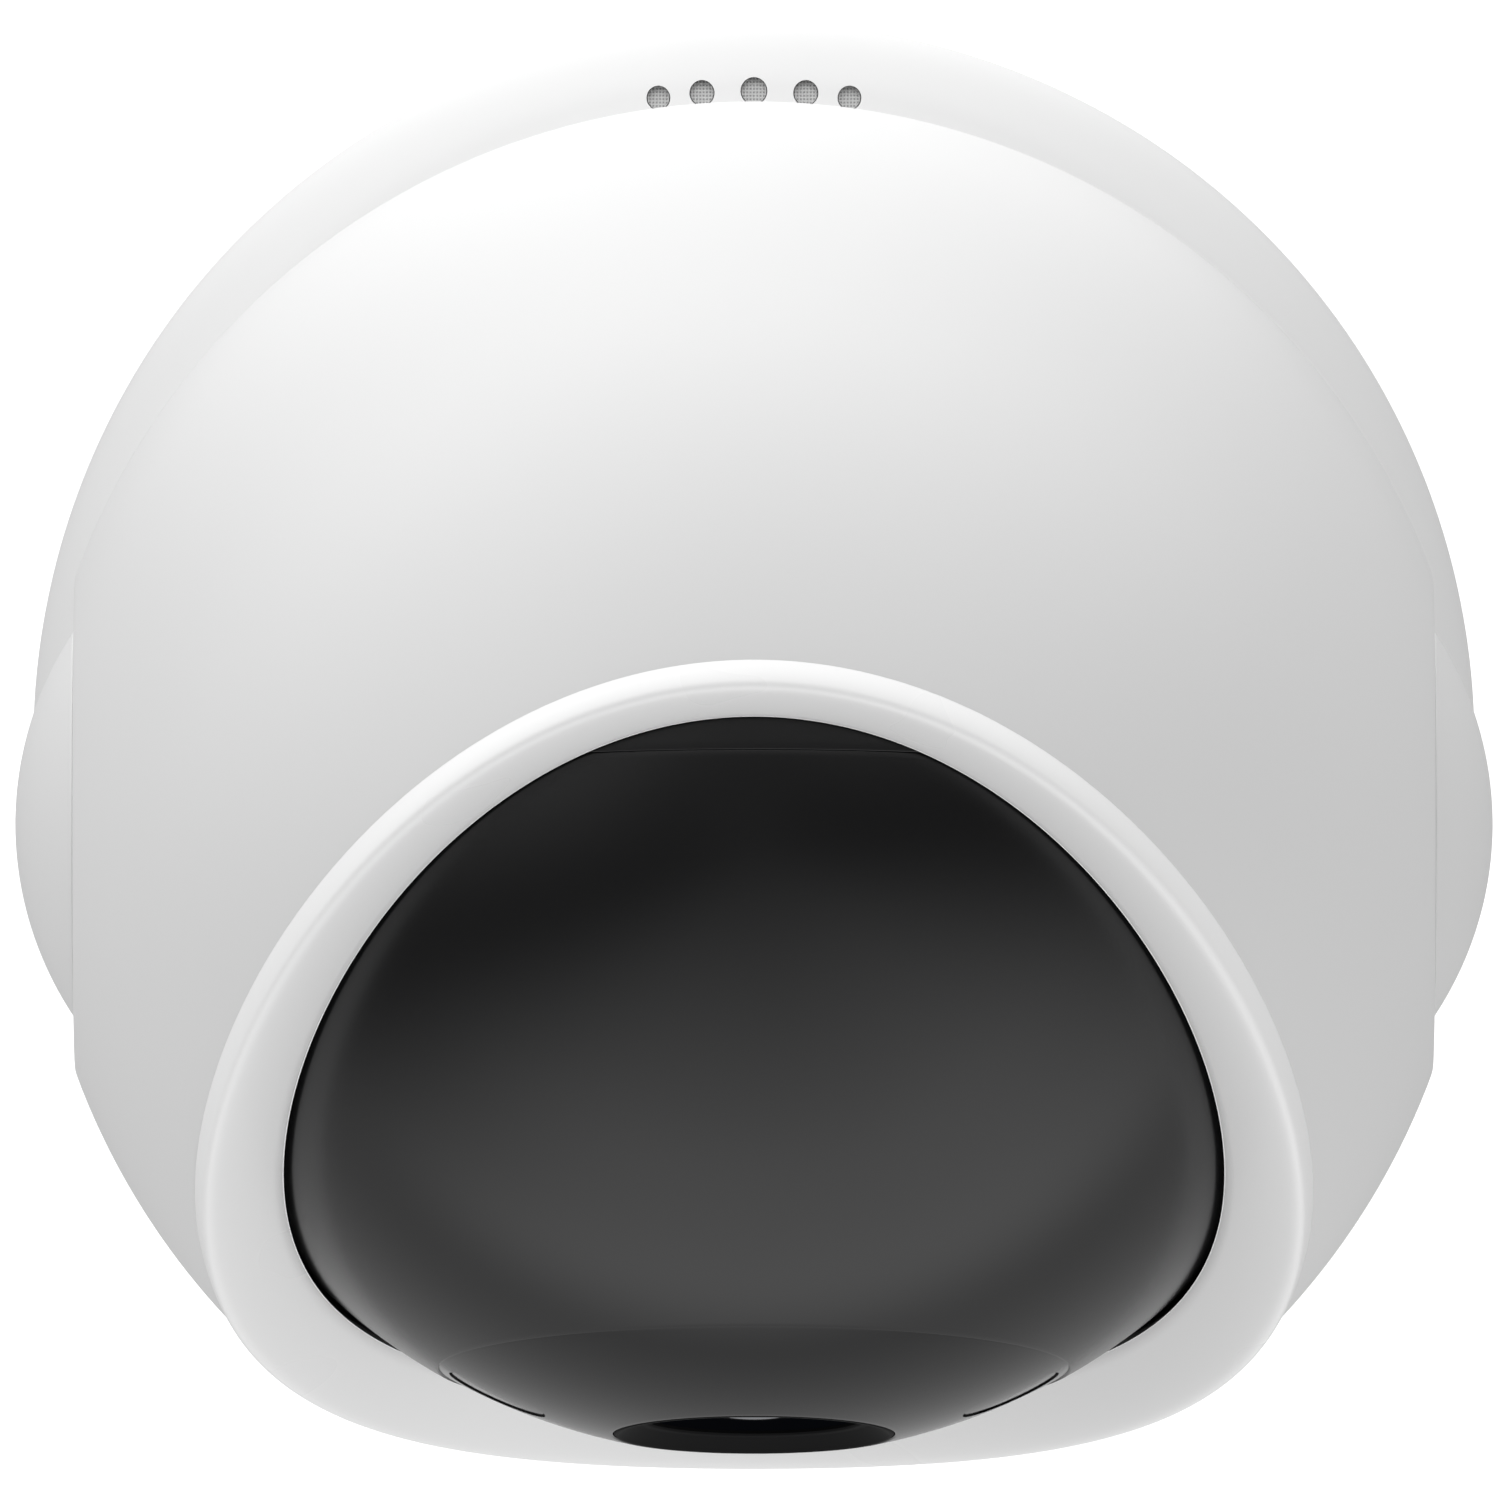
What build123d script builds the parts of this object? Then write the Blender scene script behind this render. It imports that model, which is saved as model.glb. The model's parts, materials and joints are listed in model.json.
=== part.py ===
"""Pan-and-tilt home camera: a flared round base, a flat-sided spherical head that pans on it,
and a gloss black ball carrying the lens that tilts inside the head.

Millimetres, +Z up, lens towards -Y, origin at the bottom centre of the foot ring.
"""

import math
import os

from build123d import *

os.makedirs("parts", exist_ok=True)

# overall
PIVOT_Z = 76.5  # centre of the head and of the ball, height above the table
LENS_ELEVATION = 12.0  # lens axis above the horizon at rest, degrees

# head
HEAD_R = 42.35
HEAD_INNER_R = 40.0
HEAD_FLAT_X = 39.8  # the two flat sides
HEAD_INNER_FLAT_X = 37.3
OPENING_ARC_Y = 40.5  # the opening is bounded by a cylinder along X with this axis, from the pivot
OPENING_ARC_Z = -34.5
OPENING_ARC_R = 80.2
SIDE_CAP_R = 20.3  # radius of the shallow dome over each pivot
SIDE_CAP_TOP_X = 43.3
SIDE_CAP_WALL = 1.3

# ball
BALL_R = 37.2
BALL_INNER_R = 35.2
BALL_POLE_X = 35.5
BALL_INNER_POLE_X = 33.6
BALL_SEAM_Y = -1.0  # joint line between the half shells, in front of the pivot
FACE_R = 18.5
FACE_SEAT_R = 17.2
FACE_SEAT_Y = -30.6
LENS_HOLE_R = 8.27
IR_WINDOW_R = 3.03
IR_WINDOW_ANGLE = 24.0

# base
BASE_R = 43.15
BASE_FOOT_Z = 0.8
BASE_EDGE_Z = 3.0
SHOULDER_R = 9.7
SHOULDER_ANGLE = 50.0
BASE_WALL = 2.2
NECK_R = 27.6
NECK_Z = 42.9
DISH_R = 43.0  # spherical seat the head turns in, clear of it
DECK_TOP_Z = 31.0
DECK_BOTTOM_Z = 28.0
SPEAKER_HOLES = ((0.0, 0.80), (4.5, 0.75), (-4.5, 0.75), (8.3, 0.71), (-8.3, 0.71))
SPEAKER_HOLE_CIRCLE_R = 39.5

# pan drive
PAN_MODULE = 0.6
PAN_GEAR_TEETH = 48
PAN_PINION_TEETH = 14
PAN_CENTRES = PAN_MODULE * (PAN_GEAR_TEETH + PAN_PINION_TEETH) / 2 + 0.05
SPIGOT_R = 8.0
CABLE_BORE_R = 5.0
RUNNING_CLEARANCE = 0.05

# tilt drive
TILT_MODULE = 0.5
TILT_SUN_TEETH = 36
TILT_PINION_TEETH = 14
TILT_CENTRES = TILT_MODULE * (TILT_SUN_TEETH + TILT_PINION_TEETH) / 2 + 0.05
PIN_R = 4.0
PIN_BORE_R = 2.4
BUSH_R = 5.6

# stepper motors, both the same
MOTOR_R = 10.0
MOTOR_LENGTH = 13.0
MOTOR_PLATE = 0.6
MOTOR_BOSS_R = 3.0
MOTOR_BOSS_LENGTH = 0.8
MOTOR_EAR_PITCH = 25.0
SHAFT_R = 1.0


def block(x0, x1, y0, y1, z0, z1):
    """A box between six planes."""
    centre = ((x0 + x1) / 2, (y0 + y1) / 2, (z0 + z1) / 2)
    return Pos(*centre) * Box(x1 - x0, y1 - y0, z1 - z0)


def rod_z(radius, z0, z1, x=0.0, y=0.0):
    """A cylinder along Z."""
    return Pos(x, y, (z0 + z1) / 2) * Cylinder(radius, abs(z1 - z0))


def rod_x(radius, x0, x1, y=0.0, z=0.0):
    """A cylinder along X."""
    return Pos((x0 + x1) / 2, y, z) * Rot(0, 90, 0) * Cylinder(radius, abs(x1 - x0))


def rod_y(radius, y0, y1, x=0.0, z=0.0):
    """A cylinder along Y."""
    return Pos(x, (y0 + y1) / 2, z) * Rot(90, 0, 0) * Cylinder(radius, abs(y1 - y0))


def lathe(points):
    """A polygon of (radius, height) points turned about Z."""
    return revolve(Plane.XZ * make_face(Polyline(*points, close=True)), Axis.Z)


def biggest(shape):
    """The largest solid left by a cut."""
    return max(shape.solids(), key=lambda solid: solid.volume)


def at_pivot(shape):
    """Moves a head piece, drawn about the origin, up to the pivot."""
    return Pos(0, 0, PIVOT_Z) * shape


def on_ball(shape):
    """Tilts a ball piece, drawn with its lens along -Y, to its rest pose at the pivot."""
    return Pos(0, 0, PIVOT_Z) * Rot(-LENS_ELEVATION, 0, 0) * shape


def truncated_ball(radius, flat_x):
    """A sphere with two flat sides."""
    return Sphere(radius) & Box(2 * flat_x, 4 * radius, 4 * radius)


def gear_outline(module, teeth, backlash=0.08, pressure_angle=20.0):
    """Points round an involute gear, tooth 0 centred on +X."""
    pitch_r = module * teeth / 2
    base_r = pitch_r * math.cos(math.radians(pressure_angle))
    tip_r = pitch_r + 0.95 * module
    root_r = pitch_r - 1.2 * module

    def involute(angle):
        return math.tan(angle) - angle

    def half_width(radius):
        if radius <= base_r:
            radius = base_r
        at_pitch = math.pi / (2 * teeth) - backlash / (2 * pitch_r)
        roll = math.acos(base_r / radius)
        return at_pitch + involute(math.radians(pressure_angle)) - involute(roll)

    radii = [root_r, max(base_r, root_r + 0.02), pitch_r, (pitch_r + tip_r) / 2, tip_r]
    points = []
    for tooth in range(teeth):
        middle = 2 * math.pi * tooth / teeth
        for radius in radii:
            points.append((radius, middle - half_width(radius)))
        for radius in reversed(radii):
            points.append((radius, middle + half_width(radius)))
    return [(r * math.cos(a), r * math.sin(a)) for r, a in points]


def gear(module, teeth, width, bore_r, turn=0.0):
    """A spur gear on the XY plane, growing along +Z."""
    outline = make_face(Polyline(*gear_outline(module, teeth), close=True))
    body = extrude(outline, width)
    return Rot(0, 0, turn) * (body - rod_z(bore_r, -1, width + 1))


def screw(head_r, head_h, shank_r, shank_l):
    """A pan-head screw, head underside on the XY plane, shank along -Z, cross recess on top."""
    head = rod_z(head_r, 0, head_h) + rod_z(shank_r, -shank_l, 0)
    head = fillet(head.faces().sort_by(Axis.Z)[-1].edges(), head_h * 0.4)
    for half_x, half_y in ((head_r * 0.6, head_r * 0.14), (head_r * 0.14, head_r * 0.6)):
        head -= block(-half_x, half_x, -half_y, half_y, head_h * 0.45, head_h + 1)
    return head


def stepper():
    """A small stepper motor along Z, ear plate on top at z = 0, ears along Y."""
    ear = MOTOR_EAR_PITCH / 2
    can = rod_z(MOTOR_R, -MOTOR_PLATE - MOTOR_LENGTH, -MOTOR_PLATE)
    can = fillet(can.faces().sort_by(Axis.Z)[0].edges(), 0.8)
    plate = rod_z(MOTOR_R, -MOTOR_PLATE, 0) + block(-2.6, 2.6, -ear, ear, -MOTOR_PLATE, 0)
    plate += rod_z(2.6, -MOTOR_PLATE, 0, y=ear) + rod_z(2.6, -MOTOR_PLATE, 0, y=-ear)
    motor = can + plate + rod_z(MOTOR_BOSS_R, 0, MOTOR_BOSS_LENGTH)
    motor -= rod_z(1.1, -5, 5, y=ear) + rod_z(1.1, -5, 5, y=-ear)
    motor -= rod_z(SHAFT_R + RUNNING_CLEARANCE, -9, 5)
    connector = block(-12.2, -8.5, -3.6, 3.6, -11.5, -7.5)
    return motor + connector


# ---------------------------------------------------------------- opening of the head


def opening_frame(turn):
    """Point on the opening's edge, its inward direction along the shell and the outward radial.

    The edge is where the head's sphere meets the cylinder along X. The position on the
    cylinder's arc swings as the cosine of the turn, so the edge closes smoothly at x = 0.
    """
    centre = math.hypot(OPENING_ARC_Y, OPENING_ARC_Z)
    reach = (HEAD_R**2 - centre**2 - OPENING_ARC_R**2) / (2 * OPENING_ARC_R * centre)
    swing = math.acos(reach)
    toward = math.atan2(OPENING_ARC_Z, OPENING_ARC_Y)
    high = toward + swing
    low = toward + 2 * math.pi - swing

    def point(angle):
        arc = (high + low) / 2 - (low - high) / 2 * math.cos(angle)
        y = OPENING_ARC_Y + OPENING_ARC_R * math.cos(arc)
        z = OPENING_ARC_Z + OPENING_ARC_R * math.sin(arc)
        x = math.sqrt(max(HEAD_R**2 - y * y - z * z, 0.0))
        return Vector(math.copysign(x, math.sin(angle)), y, z)

    here = point(turn)
    step = 1e-4
    along = (point(turn + step) - point(turn - step)).normalized()
    if abs(math.sin(turn)) < 1e-3:
        here = Vector(0, here.Y, here.Z)
        along = Vector(1, 0, 0)
    radial = here.normalized()
    inward = radial.cross(along).normalized()
    if inward.dot(Vector(0, -0.743, 0.669)) < 0:
        inward = inward * -1
    return here, inward, radial


def rim_sweep(crown, back, sections=17):
    """Lofts a section along the opening's edge, one half at a time.

    crown is a smooth run of (inward, outward) points, back the corners that close it.
    """
    wires = []
    for index in range(sections):
        here, inward, radial = opening_frame(math.pi * index / (sections - 1))

        def place(pair):
            return here + inward * pair[0] + radial * pair[1]

        corners = [place(crown[-1])] + [place(pair) for pair in back] + [place(crown[0])]
        edges = [Edge.make_line(a, b) for a, b in zip(corners, corners[1:])]
        if len(crown) > 2:
            edges.insert(0, Edge.make_spline([place(pair) for pair in crown]))
        else:
            edges.insert(0, Edge.make_line(place(crown[0]), place(crown[1])))
        wires.append(Wire(edges))
    half = Solid.make_loft(wires)
    return half + half.mirror(Plane.YZ)


# ---------------------------------------------------------------- base


def base_profile(offset, bottom_z, top):
    """Half section of the base, moved inwards by the offset, from bottom_z up to the top point."""
    centre = (BASE_R - SHOULDER_R, BASE_EDGE_Z)
    radius = SHOULDER_R - offset
    turn = math.radians(SHOULDER_ANGLE)
    middle = (centre[0] + radius * math.cos(turn / 2), centre[1] + radius * math.sin(turn / 2))
    end = (centre[0] + radius * math.cos(turn), centre[1] + radius * math.sin(turn))
    start = (centre[0] + radius, centre[1])
    edge = Line((start[0], bottom_z), start)
    shoulder = ThreePointArc(start, middle, end)
    flank = Spline(end, top, tangents=[(-math.sin(turn), math.cos(turn)), (-0.05, 1.0)])
    return edge, shoulder, flank, start


def base_outer():
    """The base's outside as a filled body."""
    edge, shoulder, flank, start = base_profile(0, BASE_FOOT_Z, (NECK_R, NECK_Z))
    closing = Polyline((NECK_R, NECK_Z), (0, NECK_Z), (0, BASE_FOOT_Z), (start[0], BASE_FOOT_Z))
    face = make_face(Curve() + [edge, shoulder, flank, closing])
    return revolve(Plane.XZ * face, Axis.Z)


def base_void():
    """The space inside the base under the deck and the head's seat."""
    top = (25.2, 38.4)
    edge, shoulder, flank, start = base_profile(BASE_WALL, -5, top)
    closing = Polyline(top, (17.9, 34.4), (17.9, DECK_BOTTOM_Z), (0, DECK_BOTTOM_Z), (0, -5), (start[0], -5))
    face = make_face(Curve() + [edge, shoulder, flank, closing])
    return revolve(Plane.XZ * face, Axis.Z)


def speaker_band(near, far, half_x):
    """A conical band under the speaker holes, between two depths below the outer skin."""
    turn = math.radians(SHOULDER_ANGLE)
    x = BASE_R - SHOULDER_R + SHOULDER_R * math.cos(turn)
    z = BASE_EDGE_Z + SHOULDER_R * math.sin(turn)
    slope = (-math.sin(turn), math.cos(turn))
    normal = (math.cos(turn), math.sin(turn))

    def at(depth, run):
        return (x - depth * normal[0] + run * slope[0], z - depth * normal[1] + run * slope[1])

    band = lathe([at(near, -1.9), at(near, 2.4), at(far, 2.4), at(far, -1.9)])
    return band & block(-half_x, half_x, 10, 60, -5, 40)


def speaker_holes(shrink=0.0):
    """Upright rods through the speaker holes, thinner than them by the shrink."""
    rods = []
    for angle, radius in SPEAKER_HOLES:
        turn = math.radians(90 + angle)
        x = SPEAKER_HOLE_CIRCLE_R * math.cos(turn)
        y = SPEAKER_HOLE_CIRCLE_R * math.sin(turn)
        rods.append(rod_z(radius - shrink, 4, 25, x, y))
    return rods


def speaker_mesh():
    """Woven band behind the speaker holes, pressed up into each of them."""
    mesh = speaker_band(1.1, 1.4, 8.3)
    dimples = speaker_band(0.35, 1.2, 8.3)
    for rod in speaker_holes(0.05):
        mesh += rod & dimples
    return mesh


def boss_places():
    """Three screw positions round the base."""
    return [(33 * math.cos(a), 33 * math.sin(a)) for a in map(math.radians, (-90, 35, 145))]


def base_shell():
    """Flared outer housing with the deck, the seat for the head and the speaker holes."""
    outer = base_outer()
    shell = outer - base_void()
    for x, y in boss_places():
        shell += (rod_z(3.0, 3.0, 22, x, y) & outer) - rod_z(1.25, 0, 11, x, y)
    shell += rod_z(12.5, 26.5, DECK_BOTTOM_Z)
    shell -= at_pivot(Sphere(DISH_R))
    shell -= rod_z(16.0, DECK_TOP_Z, 60)
    shell -= rod_z(10.0, 20, 40)
    shell -= rod_z(40.3, -1, 2.8)
    shell -= speaker_band(1.1, 4.1, 8.6)
    for rod in speaker_holes():
        shell -= rod
    shell -= block(-2.5, 2.5, 36, 50, -1, 3.4)
    return biggest(shell)


def base_plate():
    """Bottom cover with the motor posts, the board posts and the well for the power socket."""
    plate = rod_z(40.15, BASE_FOOT_Z, 2.8)
    plate += block(-8.4, 8.4, 22.6, 35.9, 2.0, 7.8)
    plate += block(-3.9, 3.9, 35.0, 39.0, 2.0, 4.4)
    for y in (-MOTOR_EAR_PITCH / 2, MOTOR_EAR_PITCH / 2):
        plate += rod_z(2.3, 2.0, 17.0, PAN_CENTRES, y)
        plate -= rod_z(1.0, 10.0, 18.0, PAN_CENTRES, y)
    for x in (-9.5, 9.5):
        plate += rod_z(1.8, 2.0, 8.4, x, 15.0)
    for y in (-20, 20):
        plate += rod_z(4.0, 2.0, 7.0, 0, y)
        plate -= rod_z(1.7, 0, 6.4, 0, y)
    plate -= block(-7, 7, 24, 34.5, -1, 6.8)
    plate -= block(-2.5, 2.5, 30, 45, -1, 3.4)
    plate -= block(-4.65, 4.65, 26.2, 29.8, 6, 9)
    plate -= lathe([(34.9, 0), (39.1, 0), (39.1, 1.4), (34.9, 1.4)])
    for x, y in boss_places():
        plate -= rod_z(1.4, 0, 5, x, y) + rod_z(2.6, 0, 1.9, x, y)
    return biggest(plate)


def foot_ring():
    """Rubber ring the camera stands on, open at the back where the lead leaves."""
    ring = lathe([(35.0, 0.2), (35.2, 0), (38.8, 0), (39.0, 0.2), (39.0, 1.4), (35.0, 1.4)])
    for x, y in boss_places():
        ring -= rod_z(2.6, -1, 3, x, y)
    return ring - block(-3.2, 3.2, 30, 45, -1, 3)


def base_pieces():
    """Everything fixed to the base."""
    pieces = {
        "base_shell": base_shell(),
        "base_plate": base_plate(),
        "foot_ring": foot_ring(),
        "speaker_mesh": speaker_mesh(),
    }
    for number, (x, y) in enumerate(boss_places(), start=1):
        body = Rot(180, 0, 0) * screw(2.4, 1.0, 1.2, 8.0)
        pieces[f"base_screw_{number}"] = Pos(x, y, 1.9) * body
    bearing = [(8.05, 26.5), (10.0, 26.5), (10.0, 31.0), (13.0, 31.0), (13.0, 31.6), (8.05, 31.6)]
    pieces["pan_bearing"] = lathe(bearing)
    pieces["pan_motor"] = Pos(PAN_CENTRES, 0, 17.6) * stepper()
    for number, y in enumerate((-MOTOR_EAR_PITCH / 2, MOTOR_EAR_PITCH / 2), start=1):
        pieces[f"pan_motor_screw_{number}"] = Pos(PAN_CENTRES, y, 17.6) * screw(1.9, 1.2, 0.95, 7.0)
    board = block(-12, 12, 12.5, 32, 8.4, 9.6)
    for x in (-9.5, 9.5):
        board -= rod_z(0.9, 8, 10, x, 15.0)
    pieces["base_board"] = board
    socket = fillet(block(-4.5, 4.5, 26.35, 29.65, 3.6, 8.4).edges().filter_by(Axis.Z), 1.4)
    socket -= block(-4.1, 4.1, 26.75, 29.25, 3.0, 7.6)
    pieces["power_socket"] = socket + block(-3.4, 3.4, 27.6, 28.4, 4.4, 7.7)
    speaker = fillet(block(-9.5, 9.5, 15.5, 28.5, 10.4, 15.0).edges().filter_by(Axis.Z), 2.0)
    speaker -= block(-4.5, 4.5, 19, 25, 14.2, 16)
    pieces["speaker"] = speaker + block(-8, 8, 17, 27, 9.6, 10.4)
    return pieces


# ---------------------------------------------------------------- head


def head_hollow_body():
    """Both half shells in one, with the opening, the pivots and the floor."""
    shell = truncated_ball(HEAD_R, HEAD_FLAT_X) - truncated_ball(HEAD_INNER_R, HEAD_INNER_FLAT_X)
    floor = 31.7 + 3.1 - PIVOT_Z
    shell += rod_z(14.0, floor, floor + 2.4)
    shell -= rod_z(CABLE_BORE_R, -60, -30) + rod_z(20.0, -60, floor)
    for x, y in turntable_places():
        shell -= rod_z(1.0, -60, -30, x, y) + rod_z(2.0, floor + 2.4, -30, x, y)
    for side in (-1, 1):
        shell -= rod_x(PIN_R, side * 30, side * 45) + rod_x(7.0, side * 38.7, side * 45)
    ring = rim_sweep([(0, 6), (0, -6)], [(11, -6), (11, 6)])
    pieces = (shell - ring).solids()
    return max(pieces, key=lambda solid: solid.volume)


def turntable_places():
    """Three screw positions under the head."""
    return [(10.5 * math.cos(a), 10.5 * math.sin(a)) for a in map(math.radians, (90, 210, 330))]


def head_shells():
    """Upper and lower halves of the head, lapped at the equator."""
    body = head_hollow_body()
    lap = truncated_ball(41.1, 38.5) & block(-60, 60, -60, 60, -1, 1.4)
    upper_half = block(-60, 60, -60, 60, 0, 60) - lap
    lower_half = block(-60, 60, -60, 60, -60, 0) + lap
    return biggest(body & upper_half), biggest(body & lower_half)


def pivot_pin(side, inner_x):
    """Hollow trunnion with a flange let into the head's flat side."""
    pin = rod_x(PIN_R, inner_x, 38.7) + rod_x(6.9, 38.7, 40.1)
    pin -= rod_x(PIN_BORE_R, inner_x - 1, 41)
    return pin if side > 0 else pin.mirror(Plane.YZ)


def side_cap(side):
    """Shallow dome over a pivot."""
    centre = SIDE_CAP_TOP_X - SIDE_CAP_R

    def arc(radius, share):
        turn = math.acos((HEAD_FLAT_X - centre) / radius) * share
        return (centre + radius * math.cos(turn), radius * math.sin(turn))

    inner_r = SIDE_CAP_R - SIDE_CAP_WALL
    outer = ThreePointArc(arc(SIDE_CAP_R, 0), arc(SIDE_CAP_R, 0.5), arc(SIDE_CAP_R, 1))
    inner = ThreePointArc(arc(inner_r, 0), arc(inner_r, 0.5), arc(inner_r, 1))
    ends = [Line(arc(inner_r, 0), arc(SIDE_CAP_R, 0)), Line(arc(inner_r, 1), arc(SIDE_CAP_R, 1))]
    dome = revolve(make_face(Curve() + [outer, inner] + ends), Axis.X)
    return dome if side > 0 else dome.mirror(Plane.YZ)


def head_pieces():
    """Everything that pans with the head."""
    upper, lower = head_shells()
    crown = [(0, 0), (0.65, 0.3), (1.3, 0.55), (1.7, 0.45), (1.95, -0.15), (2.15, -1.8), (2.3, -4.6)]
    back = [(2.1, -4.86), (1.0, -4.86), (0.6, -3.7), (-2.2, -3.7), (-2.2, -2.45), (-0.02, -2.45)]
    pieces = {
        "head_upper_shell": at_pivot(upper),
        "head_lower_shell": at_pivot(lower),
        "eye_rim": at_pivot(rim_sweep(crown, back)),
        "side_cap_right": at_pivot(side_cap(1)),
        "side_cap_left": at_pivot(side_cap(-1)),
        "pivot_pin_right": at_pivot(pivot_pin(1, 27.0)),
        "pivot_pin_left": at_pivot(pivot_pin(-1, 30.9)),
    }
    table = rod_z(14.0, 31.7, 34.8) + rod_z(SPIGOT_R, 18.2, 31.7)
    table -= rod_z(CABLE_BORE_R, 10, 40)
    for number, (x, y) in enumerate(turntable_places(), start=1):
        table -= rod_z(1.0, 32.4, 40, x, y)
        pieces[f"turntable_screw_{number}"] = Pos(x, y, 37.2) * screw(1.8, 1.1, 0.95, 4.4)
    pieces["turntable"] = table
    wheel = Pos(0, 0, 20.6) * gear(PAN_MODULE, PAN_GEAR_TEETH, 4.0, SPIGOT_R)
    wheel += rod_z(10.5, 24.0, 26.2) - rod_z(SPIGOT_R, 20, 30)
    pieces["pan_gear"] = wheel
    ring = lathe([(SPIGOT_R, 18.6), (10.5, 18.6), (10.5, 20.6), (SPIGOT_R, 20.6)])
    for turn in range(4):
        ring -= Rot(0, 0, 90 * turn) * block(9.6, 11, -0.8, 0.8, 18, 19.6)
    pieces["pan_retaining_ring"] = ring
    sun = Pos(27.2, 0, 0) * Rot(0, 90, 0) * gear(TILT_MODULE, TILT_SUN_TEETH, 3.2, PIN_R)
    pieces["tilt_sun_gear"] = on_ball(sun)
    return pieces


def drive_pieces():
    """The two pinions and their motor shafts."""
    pan = gear(PAN_MODULE, PAN_PINION_TEETH, 5.0, SHAFT_R, 180 + 180 / PAN_PINION_TEETH)
    tilt = gear(TILT_MODULE, TILT_PINION_TEETH, 3.6, SHAFT_R, -90 + 180 / TILT_PINION_TEETH)
    along_x = Pos(27.0, TILT_CENTRES, 0) * Rot(0, 90, 0) * tilt
    return {
        "pan_pinion": Pos(PAN_CENTRES, 0, 20.1) * pan,
        "pan_motor_shaft": rod_z(SHAFT_R, 9.2, 25.1, PAN_CENTRES),
        "tilt_pinion": on_ball(along_x),
        "tilt_motor_shaft": on_ball(rod_x(SHAFT_R, 15.8, 30.6, TILT_CENTRES)),
    }


# ---------------------------------------------------------------- ball


def ball_shell(front):
    """Half shell of the ball before its openings are cut."""
    shell = truncated_ball(BALL_R, BALL_POLE_X) - truncated_ball(BALL_INNER_R, BALL_INNER_POLE_X)
    if front:
        shell &= block(-60, 60, -60, BALL_SEAM_Y, -60, 60)
        tongue = truncated_ball(35.15, 33.55) - truncated_ball(34.2, 32.9)
        shell += tongue & block(-60, 60, -2.4, 0.8, -60, 60)
    else:
        shell &= block(-60, 60, BALL_SEAM_Y, 60, -60, 60)
    return shell - rod_x(7.3, -45, 45)


def front_shell():
    """Front half, with the seat for the face, the card slot and the reset hole."""
    shell = ball_shell(True)
    seat = rod_y(20.3, FACE_SEAT_Y, -28.9) - rod_y(FACE_SEAT_R, -40, 0)
    shell += seat & Sphere(36)
    shell -= rod_y(FACE_SEAT_R, -60, -20) + rod_y(FACE_R + 0.12, -60, FACE_SEAT_Y)
    shell -= block(-6.1, 6.1, -19.35, -17.65, -45, -20)
    shell -= Pos(0, -18.5, -37.2) * Sphere(5.6)
    shell -= rod_z(1.28, -45, -20, 10.5, -18.9)
    return biggest(shell)


def radial_rod(radius, near, far, azimuth, elevation):
    """A rod along a radius of the ball, at an angle beside and above the lens axis."""
    return Rot(0, 0, azimuth) * Rot(-elevation, 0, 0) * rod_y(radius, -far, -near)


def face_cover():
    """Dark panel a hair below the ball's skin, round the lens."""
    cap = (Sphere(BALL_R - 0.12) - Sphere(BALL_R - 1.6)) & rod_y(FACE_R, -60, FACE_SEAT_Y)
    cap += rod_y(FACE_R, -31.6, FACE_SEAT_Y) - rod_y(17.1, -40, -20)
    cap -= rod_y(LENS_HOLE_R, -60, -20)
    for azimuth in (-IR_WINDOW_ANGLE, IR_WINDOW_ANGLE):
        cap -= radial_rod(IR_WINDOW_R + 0.05, 30, 45, azimuth, 0)
    cap -= radial_rod(0.8, 30, 45, 0, -19)
    return biggest(cap)


def ir_window(azimuth):
    """Dark infrared window, a hair below the face's skin."""
    skin = Sphere(BALL_R - 0.3) - Sphere(BALL_R - 1.5)
    return skin & radial_rod(IR_WINDOW_R, 30, 45, azimuth, 0)


def lens_pieces():
    """The lens, its bezel, holder and sensor board."""
    bezel = [
        (8.2, -36.15),
        (7.95, -36.15),
        (6.9, -35.35),
        (6.35, -35.3),
        (6.35, -33.4),
        (5.3, -33.4),
        (5.3, -32.2),
        (8.2, -32.2),
    ]
    section = make_face(Polyline(*[(r, -y) for r, y in bezel], close=True))
    turned = revolve(Plane.XZ * section, Axis.Z)
    glass = Pos(0, -14.1, 0) * Sphere(22.0) & rod_y(6.3, -40, -33.6)
    barrel = rod_y(6.4, -32.2, -25.4) + rod_y(5.2, -32.4, -32.0) + rod_y(5.6, -25.4, -22.4)
    barrel -= rod_y(4.2, -33, -30.6) + rod_y(2.6, -31, -22)
    holder = block(-7.5, 7.5, -26.4, -21.4, -7.5, 7.5) - rod_y(6.5, -40, -25.3)
    holder -= rod_y(5.65, -40, -22.2) + block(-4.2, 4.2, -23, -21, -4.2, 4.2)
    board = block(-11.5, 11.5, -21.4, -20.2, -11.5, 11.5)
    for x in (-9.8, 9.8):
        for z in (-9.8, 9.8):
            board -= rod_y(0.9, -22, -20, x, z)
    return {
        "lens_bezel": Rot(90, 0, 0) * turned,
        "lens_glass": glass,
        "lens_barrel": barrel,
        "lens_holder": holder,
        "sensor_board": board + block(-3.6, 3.6, -21.9, -21.4, -3.2, 3.2),
    }


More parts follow.
